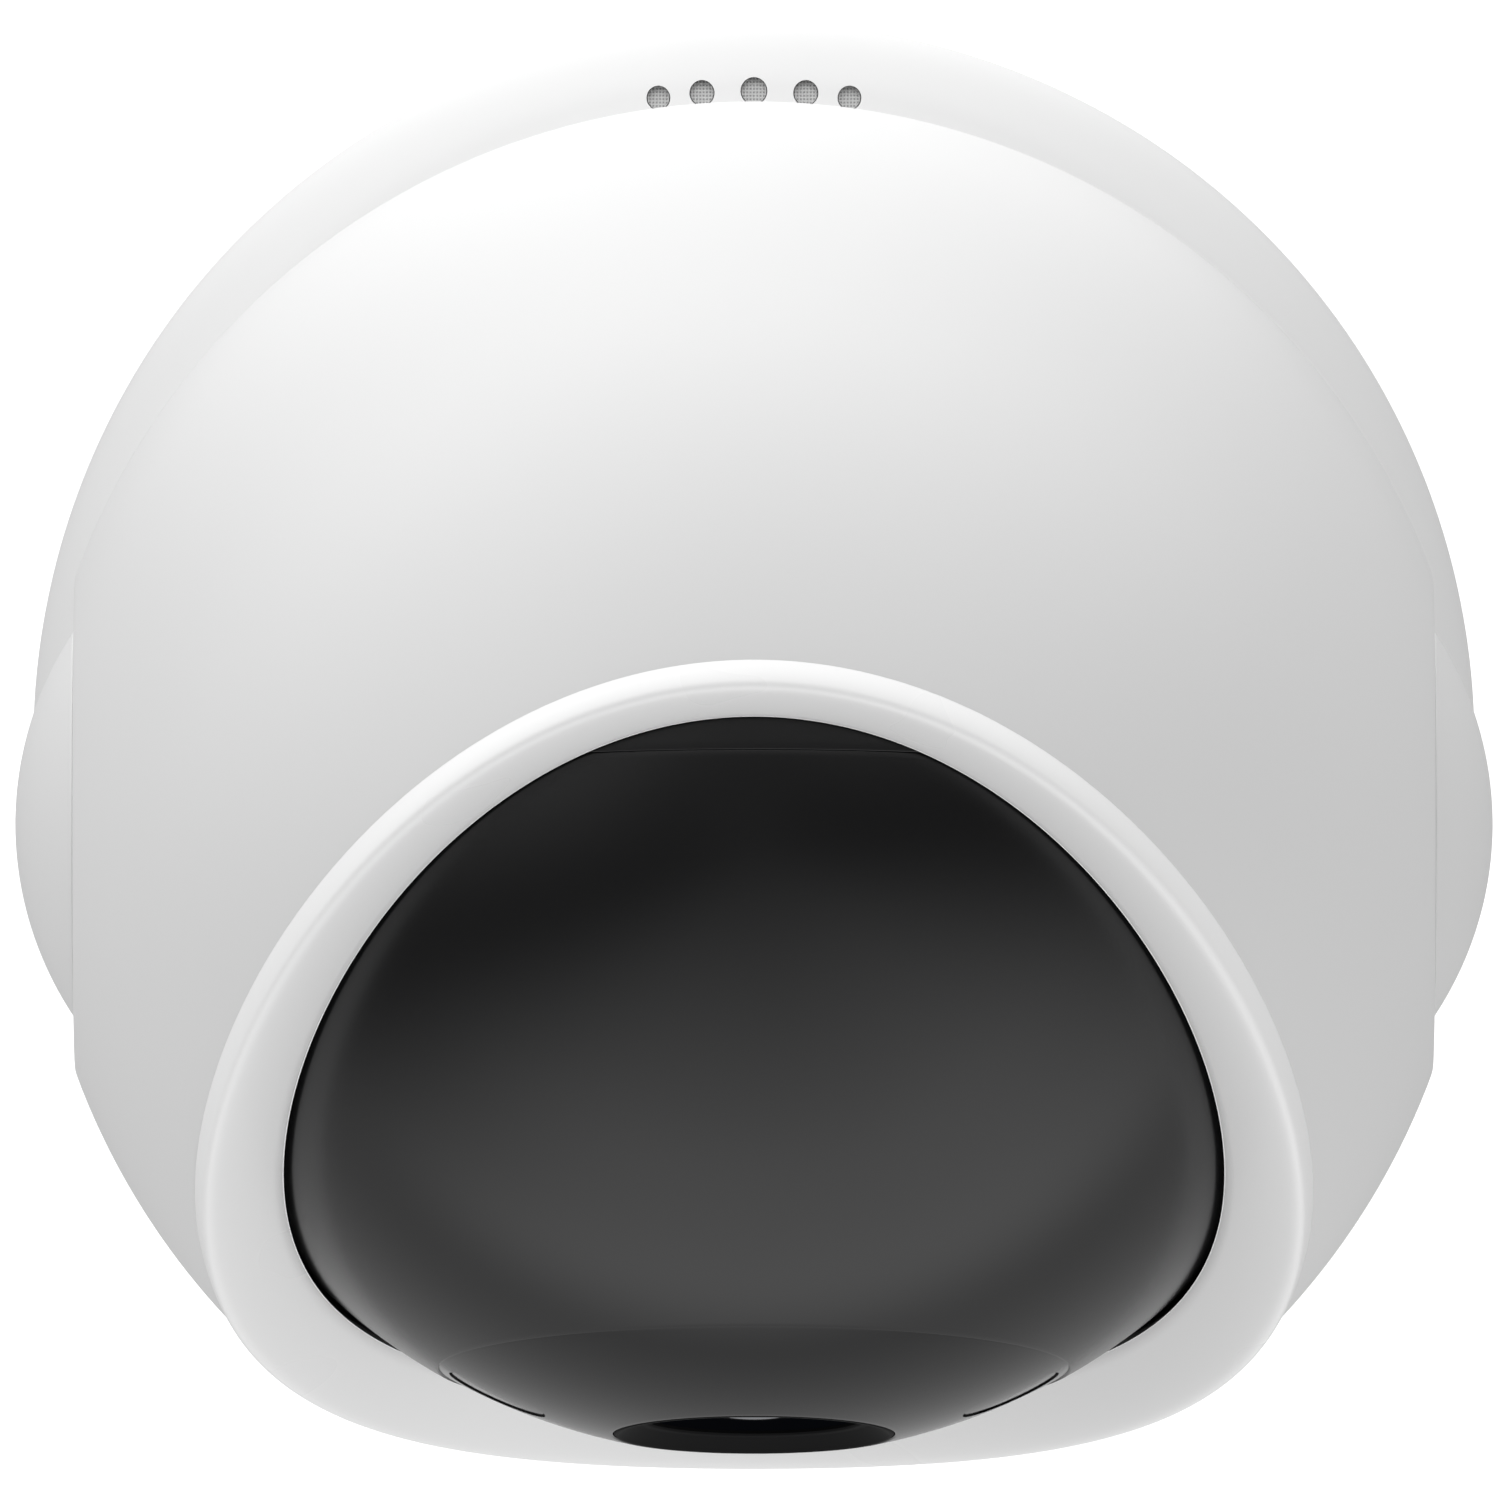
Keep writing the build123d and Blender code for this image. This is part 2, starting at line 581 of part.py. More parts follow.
def ball_frame():
    """Chassis with both hubs, the rails between them, the motor plate and the board posts."""
    frame = rod_x(13.0, 31.0, 32.6) + rod_x(7.0, 31.0, BALL_POLE_X)
    frame += rod_x(13.0, -32.6, -31.0) + rod_x(7.0, -BALL_POLE_X, -31.0)
    for low, high in ((10.6, 12.4), (-12.4, -10.6)):
        frame += block(-31.5, 31.5, -4, 4, low, high)
    plate = rod_x(22.5, 24.2, 25.6) & block(20, 30, -4, 30, -15.5, 15.5)
    plate -= block(20, 30, -9, 6.4, -9.9, 9.9)
    frame += plate
    for x in (-19.5, 19.5):
        for z in (-11.5, 11.5):
            frame += rod_y(1.6, -15.4, -3, x, z)
    frame += rod_z(1.3, 12, 30.5, 0, 2.6)
    frame -= rod_x(BUSH_R, -40, 40)
    ear = MOTOR_EAR_PITCH / 2
    frame -= rod_x(3.1, 20, 30, TILT_CENTRES)
    frame -= rod_x(1.0, 20, 30, TILT_CENTRES, ear) + rod_x(1.0, 20, 30, TILT_CENTRES, -ear)
    return biggest(frame)


def tilt_bush(side):
    """Flanged plain bearing between the ball's hub and the head's pin."""
    bush = rod_x(BUSH_R, 31.0, 35.5) + rod_x(6.6, 35.5, 36.1)
    bush -= rod_x(PIN_R + RUNNING_CLEARANCE, 20, 40)
    return bush if side > 0 else bush.mirror(Plane.YZ)


def board_pieces():
    """Circuit boards, heat plate, lights, antenna and card socket inside the ball."""
    main = rod_y(29.0, -17.0, -15.4)
    heat = rod_y(24.0, -14.2, -13.0)
    for x in (-19.5, 19.5):
        for z in (-11.5, 11.5):
            main -= rod_y(0.9, -18, -15, x, z)
            heat -= rod_y(1.75, -15, -12, x, z)
    chips = block(-6, 6, -15.4, -14.2, -2, 10) + block(-14, -8, -15.4, -14.5, -4, 3)
    chips += block(9, 12, -20.4, -17, -25.0, -21.8)
    ring = rod_y(19.2, -28.6, -27.8) - rod_y(7.6, -30, -20)
    socket = block(-7.2, 7.2, -19.9, -17.0, -27, -12.6)
    socket -= block(-5.85, 5.85, -19.2, -17.8, -30, -13.4)
    pipe = radial_rod(0.75, 30.7, 37.0, 0, -19)
    pieces = {
        "main_board": main + chips,
        "heat_plate": heat,
        "ir_board": ring,
        "status_light_pipe": pipe,
        "microsd_socket": socket,
        "wifi_antenna": block(-11, 11, 0.5, 8.5, 30.5, 31.3),
    }
    for name, x in (("ir_led_right", 15.1), ("ir_led_left", -15.1)):
        led = block(x - 1.7, x + 1.7, -29.9, -28.6, -1.7, 1.7)
        pieces[name] = led + rod_y(1.2, -30.3, -29.5, x)
    return pieces


def ball_pieces():
    """Everything that tilts with the ball, and the two small moving pieces in it."""
    motor = Pos(24.2, TILT_CENTRES, 0) * Rot(0, 90, 0) * Rot(0, 0, 90) * stepper()
    pieces = {
        "ball_front_shell": front_shell(),
        "ball_rear_shell": biggest(ball_shell(False)),
        "face_cover": face_cover(),
        "ir_window_right": ir_window(IR_WINDOW_ANGLE),
        "ir_window_left": ir_window(-IR_WINDOW_ANGLE),
        "ball_frame": ball_frame(),
        "tilt_bush_right": tilt_bush(1),
        "tilt_bush_left": tilt_bush(-1),
        "tilt_motor": motor,
        "microsd_card": block(-5.5, 5.5, -18.85, -18.15, -29.9, -14.9),
        "reset_button": rod_z(1.2, -29.9, -26.4, 10.5, -18.9) + rod_z(1.45, -26.5, -25.7, 10.5, -18.9),
    }
    pieces.update(lens_pieces())
    pieces.update(board_pieces())
    for number, z in enumerate((-MOTOR_EAR_PITCH / 2, MOTOR_EAR_PITCH / 2), start=1):
        body = Rot(0, -90, 0) * screw(1.9, 1.2, 0.95, 2.0)
        pieces[f"tilt_motor_screw_{number}"] = Pos(23.6, TILT_CENTRES, z) * body
    return {name: on_ball(shape) for name, shape in pieces.items()}


def main():
    pieces = {}
    pieces.update(base_pieces())
    pieces.update(head_pieces())
    pieces.update(drive_pieces())
    pieces.update(ball_pieces())
    for name, shape in pieces.items():
        export_step(shape, f"parts/{name}.step")


if __name__ == "__main__":
    main()
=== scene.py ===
"""Pan-and-tilt home camera, seen from above: white flared base, white flat-sided head that pans,
and a gloss black ball with the lens that tilts in the head's rounded opening."""

import json
import math

import bmesh
import bpy
import numpy as np
from bpy.props import FloatProperty, FloatVectorProperty, PointerProperty
from mathutils import Matrix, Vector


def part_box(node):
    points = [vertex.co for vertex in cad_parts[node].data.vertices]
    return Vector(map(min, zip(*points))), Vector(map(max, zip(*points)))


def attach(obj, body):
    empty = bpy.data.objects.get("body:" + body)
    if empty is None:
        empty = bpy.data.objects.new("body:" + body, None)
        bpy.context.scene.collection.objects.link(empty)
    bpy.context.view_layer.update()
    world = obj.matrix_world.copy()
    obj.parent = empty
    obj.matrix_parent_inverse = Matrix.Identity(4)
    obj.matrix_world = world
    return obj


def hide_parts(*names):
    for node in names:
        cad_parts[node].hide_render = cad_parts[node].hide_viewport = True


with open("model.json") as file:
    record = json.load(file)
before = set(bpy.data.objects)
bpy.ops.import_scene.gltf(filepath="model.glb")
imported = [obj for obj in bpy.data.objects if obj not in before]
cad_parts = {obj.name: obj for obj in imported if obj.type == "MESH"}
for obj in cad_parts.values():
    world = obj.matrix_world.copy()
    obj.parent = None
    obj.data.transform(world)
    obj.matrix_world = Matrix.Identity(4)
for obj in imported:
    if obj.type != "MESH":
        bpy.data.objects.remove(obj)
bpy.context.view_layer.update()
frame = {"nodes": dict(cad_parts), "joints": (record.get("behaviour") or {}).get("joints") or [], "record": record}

bl_info = {
    "name": "Pan and tilt camera",
    "version": (1, 0, 0),
    "blender": (4, 5, 0),
    "location": "View3D > Sidebar > Camera",
    "description": "Shells, lens, finishes and stage of a pan-and-tilt home camera",
    "category": "Object",
}

MM = 0.001
FRONT_LIGHT = 1.35  # brightness of the broad soft light in front
BACK_LIGHT = 2.65  # and of the one behind
EVEN_LIGHT = 0.1  # brightness from everywhere above the horizon
TABLE_LIGHT = 0.5  # glow from below the horizon
TABLE_REAR = 2.4  # times as bright towards the rear
CREASE = 34  # faces that meet at more than this many degrees keep a crisp edge
JOINTS = {joint["name"]: joint for joint in frame["joints"]}
PIVOT = np.array(JOINTS["ball_tilt"]["pos_m"])  # centre of the head and the ball
SLOTS = {part["node"]: part["material_slot"] for part in frame["record"]["subparts"]}
BODIES = frame["record"]["behaviour"]["bodies"]
BODY_OF = {node: body for body, nodes in BODIES.items() for node in nodes}
FINISH = {}  # the material of each slot, made by the finishes operator
# Degrees from straight behind and radius in millimetres of each speaker hole.
SPEAKER_HOLES = ((0, 0.8), (4.5, 0.75), (-4.5, 0.75), (8.3, 0.71), (-8.3, 0.71))


def linear(hex_code):
    """An sRGB hex colour as linear RGB with alpha 1, by the standard sRGB curve."""
    values = np.array([int(hex_code[i : i + 2], 16) for i in (1, 3, 5)]) / 255
    curve = np.where(values <= 0.04045, values / 12.92, ((values + 0.055) / 1.055) ** 2.4)
    return (*curve.tolist(), 1.0)


def length(label, words, millimetres):
    """A size in the sidebar."""
    size = millimetres * MM
    return FloatProperty(name=label, description=words, default=size, unit="LENGTH", precision=5)


def colour(label, words, hex_code):
    """A colour in the sidebar."""
    rgb = linear(hex_code)[:3]
    return FloatVectorProperty(
        name=label, description=words, default=rgb, subtype="COLOR", min=0, max=1
    )


# ---------------------------------------------------------------- sizes and colours


class BaseSizes(bpy.types.PropertyGroup):
    radius: length("Radius", "Radius of the base at its edge", 43.15)
    edge_height: length("Edge height", "Top of the upright edge", 3.0)
    shoulder: length("Shoulder", "Radius of the rounded shoulder", 9.7)
    neck_radius: length("Neck radius", "Outside radius at the top of the neck", 27.6)
    neck_height: length("Neck height", "Height of the top of the neck", 42.9)
    wall: length("Wall", "Wall thickness", 2.2)
    seat: length("Seat", "Radius of the spherical seat under the head", 43.0)
    hole_circle: length("Speaker hole circle", "Distance of the holes from the pan axis", 39.5)


class HeadSizes(bpy.types.PropertyGroup):
    radius: length("Radius", "Radius of the head's sphere", 42.35)
    flat: length("Flat side", "Distance of each flat side from the middle", 39.8)
    wall: length("Wall", "Wall thickness", 2.35)
    arc_y: length("Opening arc back", "Axis of the cutting cylinder, behind the pivot", 40.5)
    arc_z: length("Opening arc height", "Axis of the cutting cylinder, above the pivot", -34.5)
    arc_radius: length("Opening arc radius", "Radius of the cylinder that cuts the opening", 80.2)
    cap_radius: length("Pivot dome radius", "Sphere radius of the dome over each pivot", 20.3)
    cap_top: length("Pivot dome top", "Distance of the dome's top from the middle", 43.3)


class BallSizes(bpy.types.PropertyGroup):
    radius: length("Radius", "Radius of the ball", 37.2)
    pole: length("Pole", "Distance of the flat poles from the middle", 35.5)
    wall: length("Wall", "Wall thickness", 2.0)
    seam: length("Seam", "Distance of the half shells' joint in front of the pivot", 1.0)
    face: length("Face radius", "Radius of the dark face panel", 18.5)
    lens_hole: length("Lens hole", "Radius of the hole round the lens", 8.27)
    window: length("Infrared window", "Radius of each infrared window", 3.03)
    clear: length("Clear glass", "Radius of the bulging clear glass in the black ring", 2.65)
    elevation: FloatProperty(
        name="Lens elevation",
        description="Lens axis above the horizon at rest",
        default=math.radians(12),
        unit="ROTATION",
    )
    window_angle: FloatProperty(
        name="Window angle",
        description="Angle of each infrared window beside the lens axis",
        default=math.radians(24),
        unit="ROTATION",
    )


class FinishColours(bpy.types.PropertyGroup):
    shell: colour("White shell", "Satin white plastic of the base and head", "#E7E7E7")
    rim: colour("Opening trim", "White plastic of the trim round the opening", "#FBFBFB")
    ball: colour("Ball", "Gloss black plastic of the ball", "#0D0D0E")
    face: colour("Face", "Dark panel round the lens", "#101011")
    floor: colour("Floor", "Pale studio floor", "#F4F4F4")


# ---------------------------------------------------------------- mesh building


def welded_mesh(name, points, faces):
    """A mesh from points and lists of corners, with doubled points joined and faces outwards."""
    mesh = bpy.data.meshes.new(name)
    mesh.from_pydata(points.tolist(), [], faces)
    weld = bmesh.new()
    weld.from_mesh(mesh)
    bmesh.ops.remove_doubles(weld, verts=weld.verts, dist=2e-7)
    bmesh.ops.recalc_face_normals(weld, faces=weld.faces)
    weld.to_mesh(mesh)
    weld.free()
    return mesh


def new_object(name, points, faces, sharp=CREASE):
    """A smooth-shaded object from an array of points and an (m, 4) array of corners."""
    mesh = welded_mesh(name, points.reshape(-1, 3), faces.tolist())
    piece = bpy.data.objects.new(name, mesh)
    bpy.context.scene.collection.objects.link(piece)
    shade(piece, sharp)
    return piece


def shade(piece, sharp=CREASE):
    """Smooth shading, broken where two faces meet at more than an angle in degrees."""
    piece.data.polygons.foreach_set("use_smooth", [True] * len(piece.data.polygons))
    piece.data.set_sharp_from_angle(angle=math.radians(sharp))
    piece.data.update()


def quads(rows, columns, wrap_rows=False, wrap_columns=False):
    """Corner numbers of the cells of a grid of points, numbered row by row."""
    row = np.arange(rows if wrap_rows else rows - 1)
    column = np.arange(columns if wrap_columns else columns - 1)
    row, column = [part.ravel() for part in np.meshgrid(row, column, indexing="ij")]
    here, below, beside = row * columns, (row + 1) % rows * columns, (column + 1) % columns
    corners = (here + column, here + beside, below + beside, below + column)
    return np.stack(corners, axis=1)


def joined(grids):
    """Points and corners of several (points, corners) pairs as one."""
    points, faces, start = [], [], 0
    for grid_points, grid_faces in grids:
        points.append(grid_points.reshape(-1, 3))
        faces.append(grid_faces + start)
        start += len(points[-1])
    return np.concatenate(points), np.concatenate(faces)


def turned(profile, columns=240, closed=True):
    """A (k, 2) profile of (radius, height) carried round Z, each point as a circle of columns."""
    turn = np.linspace(0, 2 * np.pi, columns, endpoint=False)
    radius, height = profile[:, 0:1], profile[:, 1:2]
    x, y = radius * np.cos(turn), radius * np.sin(turn)
    points = np.stack([x, y, np.broadcast_to(height, x.shape)], axis=-1)
    return points, quads(len(profile), columns, wrap_rows=closed, wrap_columns=True)


def arc(centre, radius, start, end, count=12):
    """Points on a circular arc between two angles in degrees, in the profile's plane."""
    angle = np.radians(np.linspace(start, end, count))
    return np.array(centre) + radius * np.stack([np.cos(angle), np.sin(angle)], axis=1)


def bezier(*control, count=16):
    """Points on a cubic curve with four control points."""
    a, b, c, d = [np.array(point, dtype=float) for point in control]
    t = np.linspace(0, 1, count)[:, None]
    return (1 - t) ** 3 * a + 3 * (1 - t) ** 2 * t * b + 3 * (1 - t) * t**2 * c + t**3 * d


def flank(start, end, slope, count=48):
    """A cubic run that starts leaning inwards by slope degrees and ends almost upright."""
    start, end = np.array(start), np.array(end)
    reach = np.linalg.norm(end - start) / 3
    lean = math.radians(slope)
    first = start + reach * np.array([-math.sin(lean), math.cos(lean)])
    almost_up = np.array([-0.05, 1.0])
    return bezier(start, first, end - reach * almost_up, end, count=count)


def rounded(points, radius, count=5):
    """A closed outline with each corner cut back by the radius and bent round it as a parabola."""
    points = np.array(points, dtype=float)
    before, after = np.roll(points, 1, axis=0), np.roll(points, -1, axis=0)
    t = np.linspace(0, 1, count)[None, :, None]
    longest = 0.45  # share of a side that a corner may take

    def toward(other):
        """Where a corner's curve leaves the side that runs to the other points."""
        away = other - points
        reach = np.linalg.norm(away, axis=1, keepdims=True)
        return points + away / reach * np.minimum(radius, reach * longest)

    a, b, c = toward(before)[:, None], points[:, None], toward(after)[:, None]
    return ((1 - t) ** 2 * a + 2 * (1 - t) * t * b + t**2 * c).reshape(-1, 2)


def turn_x(points, angle):
    """Points turned about X through the origin."""
    c, s = math.cos(angle), math.sin(angle)
    return points @ np.array([[1, 0, 0], [0, c, s], [0, -s, c]])


def turn_z(points, angle):
    """Points turned about Z through the origin."""
    c, s = math.cos(angle), math.sin(angle)
    return points @ np.array([[c, s, 0], [-s, c, 0], [0, 0, 1]])


def along_lens(points):
    """Points drawn round +Z moved to the lens axis, in the ball's own frame with the lens to -Y."""
    return points[..., [0, 2, 1]] * np.array([1, -1, 1])


def along_side(points, side):
    """Points drawn round +Z moved to the tilt axis, on the right (1) or the left (-1)."""
    return points[..., [2, 1, 0]] * np.array([side, 1, 1])


def on_ball(points):
    """Points in the ball's own frame moved to its rest pose."""
    return turn_x(points, -bpy.context.scene.ball_sizes.elevation) + PIVOT


def carve(piece, cutters):
    """Cuts closed cutters out of a piece and keeps the result as its mesh."""
    for points, faces in cutters:
        cutter = new_object("cutter", points, faces)
        cut = piece.modifiers.new("cut", "BOOLEAN")
        cut.operation = "DIFFERENCE"
        cut.solver = "EXACT"
        cut.object = cutter
        bake(piece)
        bpy.data.meshes.remove(cutter.data)
    shade(piece)


def bake(piece):
    """Applies a piece's modifiers to its mesh."""
    seen = piece.evaluated_get(bpy.context.evaluated_depsgraph_get())
    mesh = bpy.data.meshes.new_from_object(seen)
    piece.modifiers.clear()
    piece.data = mesh


def mesh_array(items, field, width, kind):
    """One field of a mesh's items as an array."""
    values = np.empty(len(items) * width, dtype=kind)
    items.foreach_get(field, values)
    return values.reshape(-1, width) if width > 1 else values


def thicken(piece, wall):
    """Closes an open skin: a copy drawn in towards the pivot, joined to it along the free edges."""
    mesh = piece.data
    points = mesh_array(mesh.vertices, "co", 3, float)
    corners = mesh_array(mesh.loops, "vertex_index", 1, int)
    uses = np.bincount(mesh_array(mesh.loops, "edge_index", 1, int), minlength=len(mesh.edges))
    free = mesh_array(mesh.edges, "vertices", 2, int)[uses == 1]
    cuts = mesh_array(mesh.polygons, "loop_start", 1, int)[1:]
    away = points - PIVOT
    inner = points - away / np.linalg.norm(away, axis=1, keepdims=True) * wall
    count = len(points)
    skin = [part.tolist() for part in np.split(corners, cuts)]
    lining = [part[::-1].tolist() for part in np.split(corners + count, cuts)]
    sides = np.stack([free[:, 1], free[:, 0], free[:, 0] + count, free[:, 1] + count], axis=1)
    faces = skin + lining + sides.tolist()
    piece.data = welded_mesh(piece.name, np.concatenate([points, inner]), faces)
    shade(piece)


def plug(radius, low, high, columns=48):
    """A closed cylinder along Z as a turned profile that starts and ends on the axis."""
    profile = np.array([[0, low], [radius, low], [radius, high], [0, high]])
    return turned(profile, columns, closed=False)


def brick(low, high):
    """A closed box between two corners."""
    steps = np.array([[x, y, z] for x in (0, 1) for y in (0, 1) for z in (0, 1)])
    corners = np.array(low) + steps * (np.array(high) - np.array(low))
    sides = [[0, 1, 3, 2], [4, 6, 7, 5], [0, 4, 5, 1], [2, 3, 7, 6], [0, 2, 6, 4], [1, 5, 7, 3]]
    return corners, np.array(sides)


def edge_steps(radius, count=6):
    """Distances from a rounded edge, close together where the surface bends most."""
    return radius * (1 - np.cos(np.linspace(0, np.pi / 2, count)))


def edge_drop(distance, radius):
    """How far a surface sinks at a distance from an edge rounded to a quarter circle."""
    inside = np.clip(radius - distance, 0, radius)
    return radius - np.sqrt(radius**2 - inside**2)


def rows_to(span, count, near, far):
    """Distances along each column from 0 to its span, in close rows by a rounded edge.

    An edge's rows take up at most three tenths of the span, and the rest are evenly spaced.
    """
    span = np.atleast_1d(span)[None, :]
    most = span * 0.3
    first = np.minimum(edge_steps(near)[:, None] if near else np.zeros((1, 1)), most)
    last = np.minimum(edge_steps(far)[::-1, None] if far else np.zeros((1, 1)), most)
    share = np.linspace(0, 1, count)[1:-1, None]
    middle = first[-1:] + share * (span - last[:1] - first[-1:])
    first, last = np.broadcast_to(first, (len(first), span.shape[1])), span - last
    return np.concatenate([first, middle, np.broadcast_to(last, (len(last), span.shape[1]))])


def dress(piece, node, material=None):
    """Puts a finished piece in place of a CAD node, on that node's body and in its finish."""
    piece.data.materials.clear()
    piece.data.materials.append(material or FINISH[SLOTS[node]])
    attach(piece, BODY_OF[node])
    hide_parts(node)


# ---------------------------------------------------------------- materials


def fill(node, **inputs):
    """Sets a node's input values, each named by its socket with _ for a space."""
    for name, value in inputs.items():
        node.inputs[name.replace("_", " ")].default_value = value


def add(tree, kind, links=(), settings=(), **inputs):
    """Adds a node with its settings and input values, and links (socket, source socket) pairs."""
    node = tree.nodes.new("ShaderNode" + kind)
    for name, value in settings:
        setattr(node, name, value)
    fill(node, **inputs)
    for name, source in links:
        tree.links.new(source, node.inputs[name])
    return node


def new_material(name):
    """A node material with a Principled shader, as (material, tree, shader, coordinates)."""
    material = bpy.data.materials.new(name)
    material.use_nodes = True
    tree = material.node_tree
    tree.nodes.clear()
    shader = add(tree, "BsdfPrincipled")
    add(tree, "OutputMaterial", [("Surface", shader.outputs["BSDF"])])
    place = add(tree, "TexCoord").outputs["Object"]
    return material, tree, shader, place


def shader_of(material):
    """A finished material's Principled shader."""
    return next(node for node in material.node_tree.nodes if node.type == "BSDF_PRINCIPLED")


def mould_texture(tree, shader, place, grain, depth, rough, sway=0.04):
    """Fine spark-eroded grain as bump, and slow changes of roughness across the moulding.

    The grain's width and depth are in millimetres, and the roughness drifts by the sway.
    """
    fine = add(tree, "TexNoise", [("Vector", place)], Scale=1 / (grain * MM), Detail=3.0)
    bump = add(tree, "Bump", [("Height", fine.outputs["Fac"])], Strength=1.0, Distance=depth * MM)
    tree.links.new(bump.outputs["Normal"], shader.inputs["Normal"])
    slow = add(tree, "TexNoise", [("Vector", place)], Scale=60.0, Detail=2.0)
    wear = add(tree, "MapRange", [("Value", slow.outputs["Fac"])])
    fill(wear, To_Min=rough - sway, To_Max=rough + sway)
    tree.links.new(wear.outputs["Result"], shader.inputs["Roughness"])


def tinted(tree, shader, place, rgb, amount, scale):
    """Slight drift of the colour across a piece, as plastic has from its flow in the mould."""
    drift = add(tree, "TexNoise", [("Vector", place)], Scale=scale, Detail=2.0)
    mix = add(tree, "Mix", [("Factor", drift.outputs["Fac"])], [("data_type", "RGBA")])
    dark, light = [socket for socket in mix.inputs if socket.type == "RGBA"]
    dark.default_value = (*(c * (1 - amount) for c in rgb[:3]), 1)
    light.default_value = (*(min(1.0, c * (1 + amount)) for c in rgb[:3]), 1)
    result = next(socket for socket in mix.outputs if socket.type == "RGBA")
    tree.links.new(result, shader.inputs["Base Color"])


def plastic(name, rgb, rough, grain, depth, drift=0.015, ior=1.5):
    """A moulded plastic: colour that drifts a little, grain in millimetres and its depth."""
    material, tree, shader, place = new_material(name)
    fill(shader, IOR=ior)
    tinted(tree, shader, place, rgb, drift, 45.0)
    mould_texture(tree, shader, place, grain, depth, rough)
    return material


def metal(name, hex_code, rough, spacing):
    """A metal with fine drawn or rolled lines, their spacing in millimetres, twelve times longer
    than wide."""
    material, tree, shader, place = new_material(name)
    tinted(tree, shader, place, linear(hex_code), 0.06, 120.0)
    squeezed = add(tree, "Mapping", [("Vector", place)], Scale=(1, 1, 12))
    source = [("Vector", squeezed.outputs["Vector"])]
    lines = add(tree, "TexNoise", source, Scale=1 / (spacing * MM))
    bump = add(tree, "Bump", [("Height", lines.outputs["Fac"])], Strength=0.5, Distance=0.01 * MM)
    tree.links.new(bump.outputs["Normal"], shader.inputs["Normal"])
    fill(shader, Metallic=1.0, Roughness=rough)
    return material


def ball_black(name, rough, hex_code=None):
    """High-gloss black ABS: clear soft reflections with the faint waviness of a moulding."""
    rgb = linear(hex_code) if hex_code else bpy.context.scene.finish_colours.ball
    material, tree, shader, place = new_material(name)
    tinted(tree, shader, place, rgb, 0.08, 70.0)
    mould_texture(tree, shader, place, 6.0, 0.004, rough, 0.02)
    fill(shader, IOR=1.5)
    return material


def face_black():
    """Dark tinted acrylic sheet, polished: a clean reflection and no grain at all."""
    rgb = bpy.context.scene.finish_colours.face
    material, tree, shader, place = new_material("dark_acrylic_panel")
    tinted(tree, shader, place, rgb, 0.05, 90.0)
    mould_texture(tree, shader, place, 9.0, 0.002, 0.16, 0.015)
    fill(shader, IOR=1.43)
    return material


def window_acrylic():
    """Infrared-passing acrylic: nearly black with a deep wine-red body colour."""
    material, tree, shader, place = new_material("infrared_acrylic")
    tinted(tree, shader, place, linear("#0B0708"), 0.1, 200.0)
    mould_texture(tree, shader, place, 3.0, 0.001, 0.12, 0.01)
    fill(shader, Specular_IOR_Level=0.25)
    return material


def lens_coating():
    """Front glass with a black printed ring round its small bulging, blue-coated centre.

    The ring is everything further from the lens axis than the clear radius; the distance is the
    length of the cross product of the axis and the vector from the pivot.
    """
    material, tree, shader, place = new_material("coated_lens_glass")
    size = bpy.context.scene.ball_sizes
    vector = "VectorMath"
    offset = add(tree, vector, [(0, place)], [("operation", "SUBTRACT")])
    offset.inputs[1].default_value = PIVOT
    across = add(tree, vector, [(0, offset.outputs[0])], [("operation", "CROSS_PRODUCT")])
    across.inputs[1].default_value = (0, -math.cos(size.elevation), math.sin(size.elevation))
    reach = add(tree, vector, [(0, across.outputs[0])], [("operation", "LENGTH")])
    coated = add(tree, "MapRange", [("Value", reach.outputs["Value"])], To_Min=0.6, To_Max=0.0)
    fill(coated, From_Min=size.clear, From_Max=size.clear + 0.1 * MM)
    tree.links.new(coated.outputs["Result"], shader.inputs["Specular IOR Level"])
    smear = add(tree, "TexNoise", [("Vector", place)], Scale=250.0, Detail=2.0)
    polish = add(tree, "MapRange", [("Value", smear.outputs["Fac"])], To_Min=0.02, To_Max=0.06)
    tree.links.new(polish.outputs["Result"], shader.inputs["Roughness"])
    fill(shader, Base_Color=linear("#07080B"), IOR=1.6, Specular_Tint=linear("#9DB4FF"))
    return material


def acoustic_mesh():
    """Woven grey polyester mesh: round threads 0.2 mm apart, which read as an even grey. The openings between the
    threads are painted darker, as painted shade of the hollow behind the mesh.

    A wave's bands are a tenth of pi apart at scale 1, so its scale is that over the spacing.
    """
    material, tree, shader, place = new_material("woven_acoustic_mesh")
    scale = math.pi / 10 / (0.2 * MM)
    waves = []
    for direction in ("X", "Y"):
        bands = [("wave_type", "BANDS"), ("bands_direction", direction)]
        wave = add(tree, "TexWave", [("Vector", place)], bands, Scale=scale)
        waves.append(wave.outputs["Fac"])
    cross = add(tree, "Math", [(0, waves[0]), (1, waves[1])], [("operation", "MAXIMUM")])
    # Light on the threads and darker where neither thread runs: the darker colour is painted shade in the openings
    # between the threads.
    ramp = add(tree, "ValToRGB", [("Fac", cross.outputs["Value"])])
    ramp.color_ramp.elements[0].color = linear("#858585")
    ramp.color_ramp.elements[1].color = linear("#CACACA")
    tree.links.new(ramp.outputs["Color"], shader.inputs["Base Color"])
    bump = add(tree, "Bump", [("Height", cross.outputs["Value"])], Distance=0.05 * MM)
    tree.links.new(bump.outputs["Normal"], shader.inputs["Normal"])
    fill(shader, Roughness=0.8)
    return material


